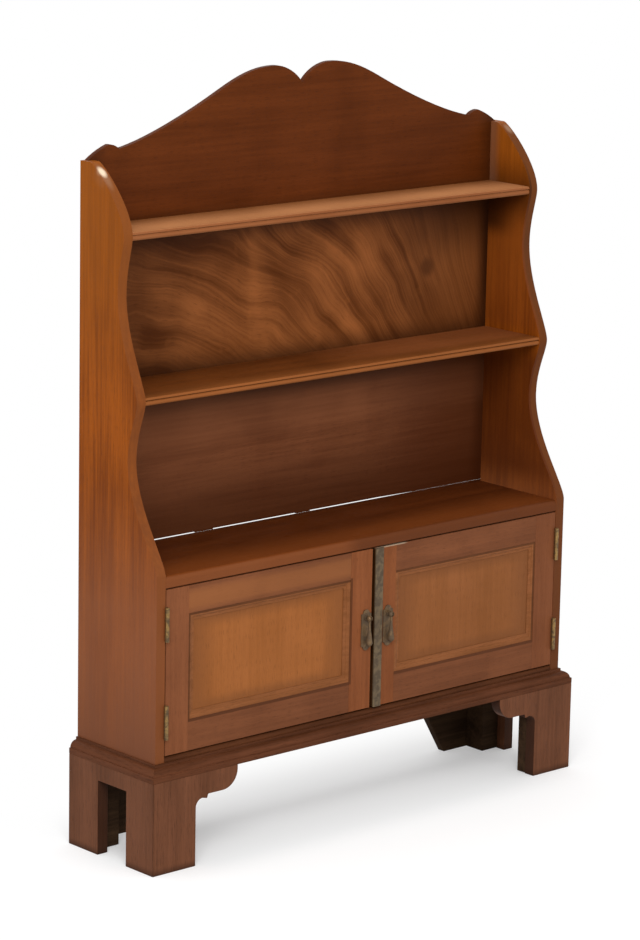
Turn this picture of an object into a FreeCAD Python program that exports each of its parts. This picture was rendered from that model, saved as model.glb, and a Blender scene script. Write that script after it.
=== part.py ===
"""Cupboard bookcase: open shelves between serpentine sides, over a pair of panelled doors.

Millimetres. X runs to the right, Y to the back and Z up. The origin is the middle of the base on
the floor, and the doors face -Y. Pieces on the left are drawn first, and those on the right are
their mirror images in the plane X = 0.
"""
import FreeCAD, Part
import math
import os
from FreeCAD import Vector

# Overall sizes
base_width = 810.0
base_depth = 186.0
overall_height = 1070.0
plinth_projection = 15.0
foot_height = 132.0
rail_height = 22.0
cupboard_rise = 261.0
lower_bay_share = 0.3641
upper_bay_share = 0.3367
side_top_share = 0.1343

# Boards of the carcase
side_thickness = 15.5
shelf_thickness = 11.5
cupboard_floor_thickness = 14.0
cupboard_top_thickness = 16.5
back_thickness = 9.0
back_rebate_width = 9.0
back_joint_rise = 3.0
back_joint_bevel = 3.0
back_joint_opening = 1.2
back_joint_touching = ((-188.0, -155.0), (2.0, 29.0))
back_joint_closing = (165.0, 235.0)
housing_depth = 6.0
housing_stop = 9.0
nosing_radius = 7.0
nosing_under_radius = 2.0
shelf_inset = 1.0
shelf_quirk = 0.8
shelf_top_band = 3.6
shelf_top_round = 2.4

# Serpentine front edge of the sides, set back from the front of the carcase
lower_hollow_setback = 65.0
middle_nose_setback = 46.0
upper_hollow_setback = 89.0
top_nose_setback = 76.5
side_top_flat = 20.0
hollow_height_share = 0.64
wave_leave = 0.14
wave_arrive = 0.42
nose_leave = 0.46
nose_arrive = 0.19
shoulder_rise = 0.4
shoulder_reach = 0.15

# Crest of the back
crest_notch_drop = 27.5
crest_notch_reach = 0.16
crest_notch_lift = 0.5
crest_hump_offset = 53.0
crest_hump_round = 0.42
crest_swell_offset = 150.0
crest_swell_drop = 28.0
crest_swell_slope = 0.5
crest_swell_round = 0.36
crest_sweep_leave = 0.32
crest_sweep_arrive = 0.28
ear_notch_inset = 45.0
ear_notch_rise = 12.0
ear_notch_slope = 0.18
ear_tip_inset = 27.0
ear_tip_rise = 19.0
ear_swell = 1.8

# Base rails and bracket feet
rail_depth = 40.0
rail_lip = 6.5
rail_face_height = 8.0
rail_quirk = 2.0
rail_fillet = 3.0
foot_board_thickness = 18.0
foot_width = 76.0
foot_cove_radius = 12.0
bracket_nib_width = 8.0
bracket_nib_drop = 2.0
bracket_step = 4.0
bracket_lobe_flat = 26.0
bracket_lobe_radius = 27.0
bracket_lobe_stem = 5.0
side_foot_front_depth = 59.0
side_foot_rear_depth = 65.0
side_bridge_height = 24.0
rear_bracket_thickness = 13.0
rear_bracket_foot = 95.0
rear_bracket_length = 174.0
rear_block_width = 50.0
rear_block_setback = 15.0
front_block_depth = 16.0
block_lift = 1.0

# Doors
door_thickness = 17.0
door_gap = 1.5
meeting_gap = 5.0
meeting_line_offset = 7.75
hinge_stile_width = 40.0
meeting_stile_width = 41.0
top_rail_width = 39.0
bottom_rail_width = 45.0
tenon_length = 22.0
tenon_shoulder = 9.0
panel_thickness = 6.0
panel_setback = 4.0
panel_groove = 6.0
panel_play = 0.5
moulding_width = 11.0
moulding_recess = 0.6
moulding_fillet = 1.0
moulding_roundness = 0.6
stop_section = 11.0
stop_end_space = 24.0
door_stop_clearance = 0.3

# Brass butt hinges
hinge_length = 48.0
hinge_inset = 48.0
hinge_leaf_thickness = 1.2
hinge_leaf_width = 13.0
hinge_leaf_gap = 0.3
hinge_knuckle_radius = 3.0
hinge_knuckle_clearance = 0.2
hinge_pin_radius = 1.3
hinge_pin_clearance = 0.05
hinge_knuckles = 5
knuckle_end_gap = 0.3
knuckle_side_gap = 0.3
screw_head_radius = 2.7
screw_shank_radius = 1.4
screw_length = 12.0
screw_hole_clearance = 0.05
screws_per_leaf = 3
screw_pitch = 16.0
screw_stagger = 2.5

# Brass strip on the right door
strip_width = 15.0
strip_thickness = 2.5
strip_round = 1.5

# Drop pulls
pull_edge_gap = 2.0
pull_plate_width = 18.0
pull_plate_height = 60.0
pull_plate_thickness = 1.8
pull_plate_shoulder = 3.0
stud_rise = 18.0
stud_shank_radius = 2.0
stud_hole_clearance = 0.05
stud_collar_radius = 4.6
stud_collar_length = 2.2
stud_head_radius = 4.4
stud_head_standoff = 8.2
stud_slot_width = 3.0
pull_pin_radius = 0.9
pull_pin_clearance = 0.05
drop_eye_radius = 2.5
drop_eye_thickness = 2.4
drop_eye_clearance = 0.4
drop_neck_radius = 1.1
drop_neck_length = 9.0
drop_length = 42.0
drop_bulb_radius = 4.9
drop_flank_angle = 10.0
drop_tip_radius = 1.5
nut_size = 8.0
nut_thickness = 3.0
stud_thread_end = 1.5

# Slide bolt inside the left door
bolt_width = 8.0
bolt_thickness = 4.0
bolt_length = 60.0
bolt_top_space = 0.5
bolt_travel = 11.0
bolt_clearance = 0.3
bolt_plate_width = 18.0
bolt_plate_thickness = 1.5
bolt_strap_wall = 1.3
bolt_strap_height = 8.0
bolt_plate_margin = 6.0
bolt_plate_space = 4.0
bolt_knob_radius = 3.0
bolt_knob_length = 7.0
bolt_knob_space = 3.5
keeper_length = 24.0
keeper_width = 14.0
keeper_thickness = 1.2
keeper_hole_clearance = 0.6

# Spring catch inside the right door
tongue_width = 8.0
tongue_thickness = 2.0
tongue_length = 13.0
tongue_lift = 10.0
tongue_plate_thickness = 1.5
tongue_plate_height = 22.0
tongue_plate_space = 3.0
clip_width = 10.0
clip_metal = 0.8
clip_clearance = 0.3
clip_end_space = 1.5
clip_lip = 3.0
clip_lip_flare = 1.2
clip_foot_length = 12.0

# Places worked out from the sizes above
base_front = -base_depth / 2
back = base_depth / 2
base_half = base_width / 2
front = base_front + plinth_projection
carcase_half = base_half - plinth_projection
inner_half = carcase_half - side_thickness
back_face = back - back_thickness
plinth_height = foot_height + rail_height
cupboard_top_height = plinth_height + cupboard_rise
open_height = overall_height - cupboard_top_height
middle_shelf_height = cupboard_top_height + lower_bay_share * open_height
top_shelf_height = middle_shelf_height + upper_bay_share * open_height
side_height = top_shelf_height + side_top_share * open_height
carcase_bottom = plinth_height - rail_lip
floor_top = carcase_bottom + cupboard_floor_thickness
cupboard_ceiling = cupboard_top_height - cupboard_top_thickness
door_bottom = floor_top + door_gap
door_top = cupboard_ceiling - door_gap
door_back = front + door_thickness
hinge_edge = -inner_half + door_gap
pin_x = -inner_half + door_gap / 2
pin_y = front - hinge_knuckle_radius - hinge_knuckle_clearance
hinge_heights = (door_bottom + hinge_inset, door_top - hinge_inset)
left_meeting_edge = meeting_line_offset - meeting_gap / 2
right_meeting_edge = meeting_line_offset + meeting_gap / 2
pull_middle = (door_bottom + door_top) / 2
stud_height = pull_middle + stud_rise
groove_front = front + panel_setback
groove_back = groove_front + panel_thickness


class Outline:
    """A closed outline of lines, arcs and cubic curves, drawn in one plane."""

    def __init__(self, place, start):
        self.place = place
        self.first = start
        self.last = start
        self.edges = []

    def line(self, end):
        """Draw a straight line to the next point."""
        if math.dist(self.last, end) > 1e-6:
            segment = Part.LineSegment(self.place(*self.last), self.place(*end))
            self.edges.append(segment.toShape())
            self.last = end
        return self

    def arc(self, middle, end):
        """Draw a circular arc through a middle point to the next point."""
        points = [self.place(*point) for point in (self.last, middle, end)]
        self.edges.append(Part.Arc(*points).toShape())
        self.last = end
        return self

    def quarter(self, centre, end):
        """Draw a quarter of a circle about a centre to the next point."""
        share = math.sqrt(0.5)
        middle = [c + share * (a - c + b - c) for a, b, c in zip(self.last, end, centre)]
        return self.arc(middle, end)

    def curve(self, leave, arrive, end):
        """Draw a cubic curve whose handles are the two points given first."""
        cubic = Part.BezierCurve()
        cubic.setPoles([self.place(*point) for point in (self.last, leave, arrive, end)])
        self.edges.append(cubic.toShape())
        self.last = end
        return self

    def face(self):
        """Close the outline and fill it."""
        self.line(self.first)
        return Part.Face(Part.Wire(self.edges))

    def extrude(self, x=0.0, y=0.0, z=0.0):
        """Push the filled outline along one direction to make a solid."""
        return self.face().extrude(Vector(x, y, z))


def seen_from_front(y):
    """Place an (x, z) drawing at a depth."""
    return lambda x, z: Vector(x, y, z)


def seen_from_side(x):
    """Place a (y, z) drawing at a distance across."""
    return lambda y, z: Vector(x, y, z)


def seen_from_above(z):
    """Place an (x, y) drawing at a height."""
    return lambda x, y: Vector(x, y, z)


def box(x0, x1, y0, y1, z0, z1):
    """Make a block between two corners."""
    return Part.makeBox(x1 - x0, y1 - y0, z1 - z0, Vector(x0, y0, z0))


def polygon(place, points):
    """Start an outline of straight lines."""
    outline = Outline(place, points[0])
    for point in points[1:]:
        outline.line(point)
    return outline


def rod(radius, start, direction, length):
    """Make a round rod."""
    return Part.makeCylinder(radius, length, start, direction)


def turned(outline, centre, direction):
    """Turn a half section about an axis."""
    return outline.face().revolve(centre, direction, 360)


def mirrored(shape):
    """Mirror a piece of the left side to the right."""
    return shape.mirror(Vector(0, 0, 0), Vector(1, 0, 0))


def group(shapes):
    """Gather separate solids of one kind."""
    return Part.makeCompound(shapes)


def side_board():
    """Left side: serpentine front edge, housings for the boards and a rebate for the back."""
    middle_nose = middle_shelf_height - shelf_thickness / 2
    top_nose = top_shelf_height - shelf_thickness / 2
    lower_hollow = cupboard_top_height + hollow_height_share * (middle_nose - cupboard_top_height)
    upper_hollow = middle_nose + hollow_height_share * (top_nose - middle_nose)
    waves = (
        (lower_hollow_setback, lower_hollow, wave_leave, wave_arrive),
        (middle_nose_setback, middle_nose, nose_leave, nose_arrive),
        (upper_hollow_setback, upper_hollow, wave_leave, wave_arrive),
        (top_nose_setback, top_nose, nose_leave, nose_arrive),
    )
    edge = Outline(seen_from_side(-carcase_half), (back, carcase_bottom))
    edge.line((front, carcase_bottom)).line((front, cupboard_top_height))
    for setback, height, leave, arrive in waves:
        y, z = edge.last
        rise = height - z
        end = (front + setback, height)
        edge.curve((y, z + leave * rise), (end[0], height - arrive * rise), end)
    y, z = edge.last
    rise = side_height - z
    shoulder = (back - side_top_flat, side_height)
    reach = shoulder_reach * (shoulder[0] - y)
    edge.curve((y, z + shoulder_rise * rise), (shoulder[0] - reach, side_height), shoulder)
    edge.line((back, side_height))
    board = edge.extrude(x=side_thickness)

    rebate = box(-inner_half - back_rebate_width, -inner_half, back_face, back,
                 carcase_bottom, side_height)
    cuts = [rebate]
    for board_front, z0, z1 in housed_boards():
        cuts.append(box(-inner_half - housing_depth, -inner_half, board_front + housing_stop,
                        back_face, z0, z1))
    for height in hinge_heights:
        leaf, screws = case_leaf_recess(height)
        cuts.extend([leaf] + screws)
    return board.cut(cuts)


def housed_boards():
    """Front edge, underside and top of each board housed in the sides."""
    middle_front = front + middle_nose_setback + shelf_inset
    top_front = front + top_nose_setback + shelf_inset
    return (
        (front, carcase_bottom, floor_top),
        (front, cupboard_ceiling, cupboard_top_height),
        (middle_front, middle_shelf_height - shelf_thickness, middle_shelf_height),
        (top_front, top_shelf_height - shelf_thickness, top_shelf_height),
    )


def housed(outline, board_front, z0, z1):
    """Give a board, drawn in section, tongues that fill the housings of both sides."""
    board = outline.extrude(x=2 * inner_half)
    tongue = box(-inner_half - housing_depth, -inner_half, board_front + housing_stop,
                 back_face, z0, z1)
    return board.fuse([tongue, mirrored(tongue)]).removeSplitter()


def nosed_board(board_front, z0, z1):
    """Cupboard floor or top, with its front edge rounded above and below."""
    above = (board_front + nosing_radius, z1 - nosing_radius)
    under = (board_front + nosing_under_radius, z0 + nosing_under_radius)
    section = Outline(seen_from_side(-inner_half), (back_face, z0))
    section.line((under[0], z0)).quarter(under, (board_front, under[1]))
    section.line((board_front, above[1])).quarter(above, (above[0], z1))
    section.line((back_face, z1))
    return housed(section, board_front, z0, z1)


def shelf(board_front, z0, z1):
    """Shelf whose front edge has a bead, a quirk and a rounded top."""
    quirk_top = z1 - shelf_top_band
    bead_top = quirk_top - shelf_quirk
    bead_radius = (bead_top - z0) / 2
    bead_back = board_front + bead_radius
    top = (board_front + shelf_top_round, z1 - shelf_top_round)
    section = Outline(seen_from_side(-inner_half), (back_face, z0))
    section.line((bead_back, z0))
    section.arc((board_front, z0 + bead_radius), (bead_back, bead_top))
    section.line((bead_back, quirk_top)).line((board_front, quirk_top))
    section.line((board_front, top[1])).quarter(top, (top[0], z1))
    section.line((back_face, z1))
    return housed(section, board_front, z0, z1)


def back_board(z0, z1):
    """Plain board of the back, set in the rebates of the sides."""
    half = inner_half + back_rebate_width
    return box(-half, half, back_face, back, z0, z1)


def cupboard_back(joint):
    """Board behind the cupboard, its top edge bevelled down to the back."""
    half = inner_half + back_rebate_width
    points = ((back_face, carcase_bottom), (back, carcase_bottom), (back, joint - back_joint_bevel),
              (back_face, joint))
    return polygon(seen_from_side(-half), points).extrude(x=2 * half)


def lower_board(joint, z1):
    """Board behind the lower bay, shrunk away from the board below but for the places that touch."""
    half = inner_half + back_rebate_width
    opened = joint + back_joint_opening
    points = [(-half, opened)]
    for x0, x1 in back_joint_touching:
        points += [(x0, opened), (x0, joint), (x1, joint), (x1, opened)]
    closing_start, closing_end = back_joint_closing
    points += [(closing_start, opened), (closing_end, joint), (half, joint), (half, z1), (-half, z1)]
    return polygon(seen_from_front(back_face), points).extrude(y=back_thickness)


def crest_board(z0):
    """Top board of the back: two humps beside a notch, long sweeps and a small ear at each end."""
    half = inner_half + back_rebate_width
    notch = (0.0, overall_height - crest_notch_drop)
    swell = (crest_swell_offset, overall_height - crest_swell_drop)
    ear_notch = (inner_half - ear_notch_inset, side_height + ear_notch_rise)
    ear_tip = (inner_half - ear_tip_inset, side_height + ear_tip_rise)
    shoulder = (half, side_height)

    hump = (crest_hump_offset, overall_height)
    hump_reach = crest_hump_round * crest_hump_offset
    swell_reach = crest_swell_round * (swell[0] - hump[0])
    sweep_reach = crest_sweep_leave * (ear_notch[0] - swell[0])
    ear_reach = crest_sweep_arrive * (ear_notch[0] - swell[0])
    edge = Outline(seen_from_front(back_face), notch)
    edge.curve((crest_notch_reach * hump[0], notch[1] + crest_notch_lift * crest_notch_drop),
               (hump[0] - hump_reach, overall_height), hump)
    edge.curve((hump[0] + swell_reach, overall_height),
               (swell[0] - swell_reach, swell[1] + crest_swell_slope * swell_reach), swell)
    edge.curve((swell[0] + sweep_reach, swell[1] - crest_swell_slope * sweep_reach),
               (ear_notch[0] - ear_reach, ear_notch[1] + ear_notch_slope * ear_reach), ear_notch)
    for end in (ear_tip, shoulder):
        start = edge.last
        edge.arc(((start[0] + end[0]) / 2, (start[1] + end[1]) / 2 + ear_swell), end)
    edge.line((half, z0)).line((0.0, z0))
    half_board = edge.extrude(y=back_thickness)
    return half_board.fuse(mirrored(half_board)).removeSplitter()


def rail_section():
    """Section of a moulded base rail, as (distance out from the carcase, height)."""
    inner = plinth_projection - rail_depth
    face_top = foot_height + rail_face_height
    round_front = plinth_projection - rail_quirk
    round_radius = min(round_front - rail_fillet, plinth_height - rail_quirk - face_top)
    round_back = round_front - round_radius
    return {
        "before": ((inner, carcase_bottom), (inner, foot_height),
                   (plinth_projection, foot_height), (plinth_projection, face_top),
                   (round_front, face_top)),
        "round": ((round_back, face_top), (round_back, face_top + round_radius)),
        "after": ((round_back, plinth_height), (0.0, plinth_height), (0.0, carcase_bottom)),
    }


def moulded_rail(place, direction):
    """Run the section of a base rail along one side of the base."""
    section = rail_section()
    outline = polygon(place, section["before"])
    outline.quarter(*section["round"])
    for point in section["after"]:
        outline.line(point)
    return outline.face().extrude(direction)


def front_rail():
    """Front rail, mitred at both ends."""
    run = moulded_rail(lambda out, z: Vector(-base_half, front - out, z), Vector(base_width, 0, 0))
    plan = ((-base_half, base_front), (base_half, base_front),
            (base_half - rail_depth, base_front + rail_depth),
            (-base_half + rail_depth, base_front + rail_depth))
    mitres = polygon(seen_from_above(0.0), plan).extrude(z=plinth_height)
    return run.common(mitres)


def side_rail():
    """Left rail, mitred at the front and square at the back."""
    run = moulded_rail(lambda out, z: Vector(-carcase_half - out, base_front, z),
                       Vector(0, base_depth, 0))
    plan = ((-base_half, base_front), (-base_half + rail_depth, base_front + rail_depth),
            (-base_half + rail_depth, back), (-base_half, back))
    return run.common(polygon(seen_from_above(0.0), plan).extrude(z=plinth_height))


def rear_rail():
    """Plain rail that closes the base at the back."""
    half = base_half - rail_depth
    return box(-half, half, back - rail_depth, back, foot_height, carcase_bottom)


def front_bracket():
    """Left front bracket: foot, cove, nib and rounded lobe under the rail."""
    corner = -base_half
    foot_edge = corner + foot_width
    lobe_top = foot_height - bracket_lobe_stem
    lobe_bottom = lobe_top - bracket_lobe_radius
    cove_top = lobe_bottom - bracket_step
    cove_end = foot_edge + foot_cove_radius
    nib = cove_end + bracket_nib_width
    lobe_start = nib + bracket_nib_drop + bracket_lobe_flat
    lobe_end = lobe_start + bracket_lobe_radius
    outline = Outline(seen_from_front(base_front), (corner, 0.0))
    cove_bottom = cove_top - foot_cove_radius
    outline.line((foot_edge, 0.0)).line((foot_edge, cove_bottom))
    outline.quarter((cove_end, cove_bottom), (cove_end, cove_top))
    outline.line((nib, cove_top - bracket_nib_drop))
    outline.line((nib + bracket_nib_drop, lobe_bottom))
    outline.line((lobe_start, lobe_bottom))
    outline.quarter((lobe_start, lobe_top), (lobe_end, lobe_top))
    outline.line((lobe_end, foot_height)).line((corner, foot_height))
    board = outline.extrude(y=foot_board_thickness)
    plan = ((corner, base_front), (lobe_end, base_front),
            (lobe_end, base_front + foot_board_thickness),
            (corner + foot_board_thickness, base_front + foot_board_thickness))
    return board.common(polygon(seen_from_above(0.0), plan).extrude(z=foot_height))


def side_bracket():
    """Left side bracket: front and rear foot with a square slot between them."""
    slot_front = base_front + side_foot_front_depth
    slot_back = back - side_foot_rear_depth
    slot_top = foot_height - side_bridge_height
    points = ((base_front, 0.0), (slot_front, 0.0), (slot_front, slot_top),
              (slot_back, slot_top), (slot_back, 0.0), (back, 0.0),
              (back, foot_height), (base_front, foot_height))
    board = polygon(seen_from_side(-base_half), points).extrude(x=foot_board_thickness)
    inside = -base_half + foot_board_thickness
    plan = ((-base_half, base_front), (inside, base_front + foot_board_thickness),
            (inside, back), (-base_half, back))
    return board.common(polygon(seen_from_above(0.0), plan).extrude(z=foot_height))


def rear_bracket():
    """Left rear bracket, a plain board with a slanted end."""
    inside = -base_half + foot_board_thickness
    points = ((inside, 0.0), (-base_half + rear_bracket_foot, 0.0),
              (-base_half + rear_bracket_length, foot_height), (inside, foot_height))
    outline = polygon(seen_from_front(back - rear_bracket_thickness), points)
    return outline.extrude(y=rear_bracket_thickness)


def front_block():
    """Block glued inside the left front foot."""
    inside = base_front + foot_board_thickness
    return box(-base_half + foot_board_thickness, -base_half + foot_width, inside,
               inside + front_block_depth, block_lift, foot_height)


def rear_block():
    """Block glued inside the left rear foot, behind the edge of the slot."""
    return box(-base_half + foot_board_thickness, -base_half + rear_block_width,
               back - side_foot_rear_depth + rear_block_setback, back - rear_bracket_thickness,
               block_lift, foot_height)


def knuckle_spans(middle):
    """Heights of the knuckles of one hinge, from the bottom."""
    pitch = hinge_length / hinge_knuckles
    bottom = middle - hinge_length / 2
    spans = []
    for index in range(hinge_knuckles):
        z0 = bottom + index * pitch + (knuckle_end_gap / 2 if index else 0.0)
        last = index == hinge_knuckles - 1
        z1 = bottom + (index + 1) * pitch - (0.0 if last else knuckle_end_gap / 2)
        spans.append((z0, z1))
    return spans


def hinge_leaf(middle, side):
    """One leaf with its knuckles: side -1 is fixed to the carcase and +1 to the door."""
    near = pin_x + side * hinge_leaf_gap / 2
    far = near + side * hinge_leaf_thickness
    bottom = middle - hinge_length / 2
    top = middle + hinge_length / 2
    plate = box(min(near, far), max(near, far), pin_y, front + hinge_leaf_width, bottom, top)
    own = 0 if side < 0 else 1
    barrels = []
    reliefs = []
    for index, (z0, z1) in enumerate(knuckle_spans(middle)):
        foot = Vector(pin_x, pin_y, z0)
        if index % 2 == own:
            barrels.append(rod(hinge_knuckle_radius, foot, Vector(0, 0, 1), z1 - z0))
        else:
            start = Vector(pin_x, pin_y, z0 - knuckle_end_gap)
            height = z1 - z0 + 2 * knuckle_end_gap
            radius = hinge_knuckle_radius + knuckle_side_gap
            reliefs.append(rod(radius, start, Vector(0, 0, 1), height))
    bore = rod(hinge_pin_radius + hinge_pin_clearance, Vector(pin_x, pin_y, bottom),
               Vector(0, 0, 1), hinge_length)
    relieved = plate.cut(reliefs)
    leaf = relieved.fuse(barrels).cut([bore] + leaf_screws(middle, side, screw_hole_clearance))
    return leaf.removeSplitter()


def leaf_screws(middle, side, clearance=0.0):
    """Countersunk screws of one leaf, or their holes when a clearance is given."""
    face = pin_x + side * hinge_leaf_gap / 2
    section_axis = Vector(side, 0, 0)
    row_middle = front + hinge_leaf_width / 2
    head = screw_head_radius + clearance
    shank = screw_shank_radius + clearance
    length = screw_length + clearance
    screws = []
    for index in range(screws_per_leaf):
        offset = index - (screws_per_leaf - 1) / 2
        y = row_middle + (screw_stagger if index % 2 else -screw_stagger) / 2
        centre = Vector(face, y, middle + offset * screw_pitch)

        def place(along, out, centre=centre):
            return centre + Vector(side * along, 0, out)

        points = ((0.0, 0.0), (0.0, head), (hinge_leaf_thickness, shank), (length - shank, shank),
                  (length, 0.0))
        screws.append(turned(polygon(place, points), centre, section_axis))
    return screws


def case_leaf_recess(middle):
    """Recess of a hinge leaf in the side, with the holes of its screws."""
    far = pin_x - hinge_leaf_gap / 2 - hinge_leaf_thickness
    leaf = box(far, -inner_half, front, front + hinge_leaf_width,
               middle - hinge_length / 2, middle + hinge_length / 2)
    return leaf, leaf_screws(middle, -1, screw_hole_clearance)


def door_leaf_recess(middle):
    """Recess of a hinge leaf in the door, with the holes of its screws."""
    far = pin_x + hinge_leaf_gap / 2 + hinge_leaf_thickness
    leaf = box(hinge_edge, far, front, front + hinge_leaf_width,
               middle - hinge_length / 2, middle + hinge_length / 2)
    return leaf, leaf_screws(middle, 1, screw_hole_clearance)


def hinge_pin(middle):
    """Pin of one hinge."""
    foot = Vector(pin_x, pin_y, middle - hinge_length / 2)
    return rod(hinge_pin_radius, foot, Vector(0, 0, 1), hinge_length)


def stile(outer, inner):
    """Upright of a door, grooved and mortised in the edge that faces the panel."""
    into = 1 if outer > inner else -1
    groove = inner + into * panel_groove
    mortise = inner + into * tenon_length
    x0, x1 = sorted((inner, groove))
    m0, m1 = sorted((inner, mortise))
    upright = box(*sorted((outer, inner)), front, door_back, door_bottom, door_top)
    cuts = [box(x0, x1, groove_front, groove_back, *panel_groove_span())]
    for z0, z1 in tenon_spans():
        cuts.append(box(m0, m1, groove_front, groove_back, z0, z1))
    return upright.cut(cuts)


def panel_groove_span():
    """Lowest and highest edge of the groove in a stile."""
    return (door_bottom + bottom_rail_width - panel_groove, door_top - top_rail_width + panel_groove)


def tenon_spans():
    """Heights of the tenons of the bottom and the top rail."""
    low, high = panel_groove_span()
    return ((door_bottom + tenon_shoulder, low), (high, door_top - tenon_shoulder))


def door_rail(x0, x1, z0, z1, tenon, groove):
    """Cross rail of a door with a tenon at each end and a groove for the panel."""
    body = box(x0, x1, front, door_back, z0, z1)
    tenons = box(x0 - tenon_length, x1 + tenon_length, groove_front, groove_back, *tenon)
    slot = box(x0, x1, groove_front, groove_back, *groove)
    return body.fuse(tenons).cut(slot).removeSplitter()


def door_mouldings(x0, x1, z0, z1):
    """Four mitred strips that frame the panel."""
    depth = panel_setback - moulding_recess
    middle = ((depth + moulding_fillet) / 2, (moulding_width + moulding_fillet) / 2)
    rise = moulding_roundness * (depth - middle[0])
    reach = moulding_roundness * (moulding_width - middle[1])
    corners = ((x0, z0, x1 - x0), (x1, z0, z1 - z0), (x1, z1, x1 - x0), (x0, z1, z1 - z0))
    strips = []
    for turn, (x, z, length) in enumerate(corners):
        section = Outline(lambda depth_out, inward: Vector(0, -depth_out, inward), (0.0, 0.0))
        section.line((depth, 0.0)).line((depth, moulding_fillet))
        section.curve((depth, moulding_fillet + reach), (middle[0] + rise, middle[1]), middle)
        section.curve((middle[0] - rise, middle[1]), (moulding_fillet, moulding_width - reach),
                      (moulding_fillet, moulding_width))
        section.line((0.0, moulding_width))
        run = section.extrude(x=length)
        plan = ((0.0, 0.0), (length, 0.0), (length - moulding_width, moulding_width),
                (moulding_width, moulding_width))
        strip = run.common(polygon(seen_from_front(-depth), plan).extrude(y=depth))
        strip.rotate(Vector(0, 0, 0), Vector(0, 1, 0), -90 * turn)
        strip.translate(Vector(x, groove_front, z))
        strips.append(strip)
    return group(strips)


def stud_hole(x):
    """Hole for the stud of a pull, through the plate and the stile."""
    start = Vector(x, front - pull_plate_thickness, stud_height)
    length = pull_plate_thickness + door_thickness + nut_thickness
    return rod(stud_shank_radius + stud_hole_clearance, start, Vector(0, 1, 0), length)


def pull_plate(x):
    """Long plate under the stud, with a rounded end beyond each pair of shoulders."""
    half = pull_plate_width / 2
    round_radius = half - pull_plate_shoulder
    rise = pull_plate_height / 2 - round_radius
    outline = Outline(seen_from_front(front - pull_plate_thickness), (x - half, pull_middle - rise))
    for sign in (-1, 1):
        z = pull_middle + sign * rise
        outline.line((x + sign * half, z)).line((x + sign * round_radius, z))
        outline.arc((x, z + sign * round_radius), (x - sign * round_radius, z))
        outline.line((x - sign * half, z))
    return outline.extrude(y=pull_plate_thickness).cut(stud_hole(x))


def pull_stud(x):
    """Turned stud: threaded end inside, collar on the plate and a slotted round head."""
    collar_back = front - pull_plate_thickness
    collar_front = collar_back - stud_collar_length
    head = Vector(x, front - stud_head_standoff, stud_height)
    inner_end = door_back + nut_thickness + stud_thread_end
    shank = rod(stud_shank_radius, Vector(x, collar_back, stud_height), Vector(0, 1, 0),
                inner_end - collar_back)
    collar = rod(stud_collar_radius, Vector(x, collar_front, stud_height), Vector(0, 1, 0),
                 stud_collar_length)
    neck = rod(stud_shank_radius, head, Vector(0, 1, 0), collar_back - head.y)
    ball = Part.makeSphere(stud_head_radius, head)
    reach = drop_eye_radius + drop_eye_clearance
    slot = box(x - stud_slot_width / 2, x + stud_slot_width / 2, head.y - 2 * stud_head_radius,
               head.y + reach, head.z - 2 * stud_head_radius, head.z + reach)
    hole = pull_pin_rod(x, pull_pin_radius + pull_pin_clearance, stud_head_radius)
    return ball.fuse([neck, collar, shank]).cut([slot, hole]).removeSplitter()


def pull_pin_rod(x, radius, half):
    """Rod across the head of the stud, to half its length on each side."""
    start = Vector(x - half, front - stud_head_standoff, stud_height)
    return rod(radius, start, Vector(1, 0, 0), 2 * half)


def pull_pin(x):
    """Cross pin that carries the drop, cut off where it meets the round of the head."""
    half = math.sqrt(stud_head_radius ** 2 - pull_pin_radius ** 2)
    return pull_pin_rod(x, pull_pin_radius, half)


def pull_drop(x):
    """Pear drop with the eye that hangs on the cross pin."""
    centre = Vector(x, front - stud_head_standoff, stud_height)
    bore = pull_pin_rod(x, pull_pin_radius + pull_pin_clearance, drop_eye_thickness)
    eye = rod(drop_eye_radius, centre - Vector(drop_eye_thickness / 2, 0, 0), Vector(1, 0, 0),
              drop_eye_thickness)
    neck_top = -drop_eye_radius / 2
    neck_end = (drop_neck_radius, -drop_neck_length)
    tip_middle = drop_tip_radius - drop_length
    bulb_middle = tip_middle + drop_bulb_radius
    angle = math.radians(drop_flank_angle)
    flank_end = (drop_bulb_radius * math.cos(angle), bulb_middle + drop_bulb_radius * math.sin(angle))
    outline = Outline(lambda r, z: centre + Vector(r, 0, z), (0.0, neck_top))
    outline.line((drop_neck_radius, neck_top)).line(neck_end)
    outline.line(flank_end).line((0.0, flank_end[1]))
    bulb = Part.makeSphere(drop_bulb_radius, centre + Vector(0, 0, bulb_middle))
    tip = Part.makeSphere(drop_tip_radius, centre + Vector(0, 0, tip_middle))
    drop = turned(outline, centre, Vector(0, 0, 1)).fuse([bulb, tip, eye])
    return drop.cut(bore).removeSplitter()


def pull_nut(x):
    """Square nut that holds the stud inside the door."""
    half = nut_size / 2
    nut = box(x - half, x + half, door_back, door_back + nut_thickness,
              stud_height - half, stud_height + half)
    return nut.cut(stud_hole(x))


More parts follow.
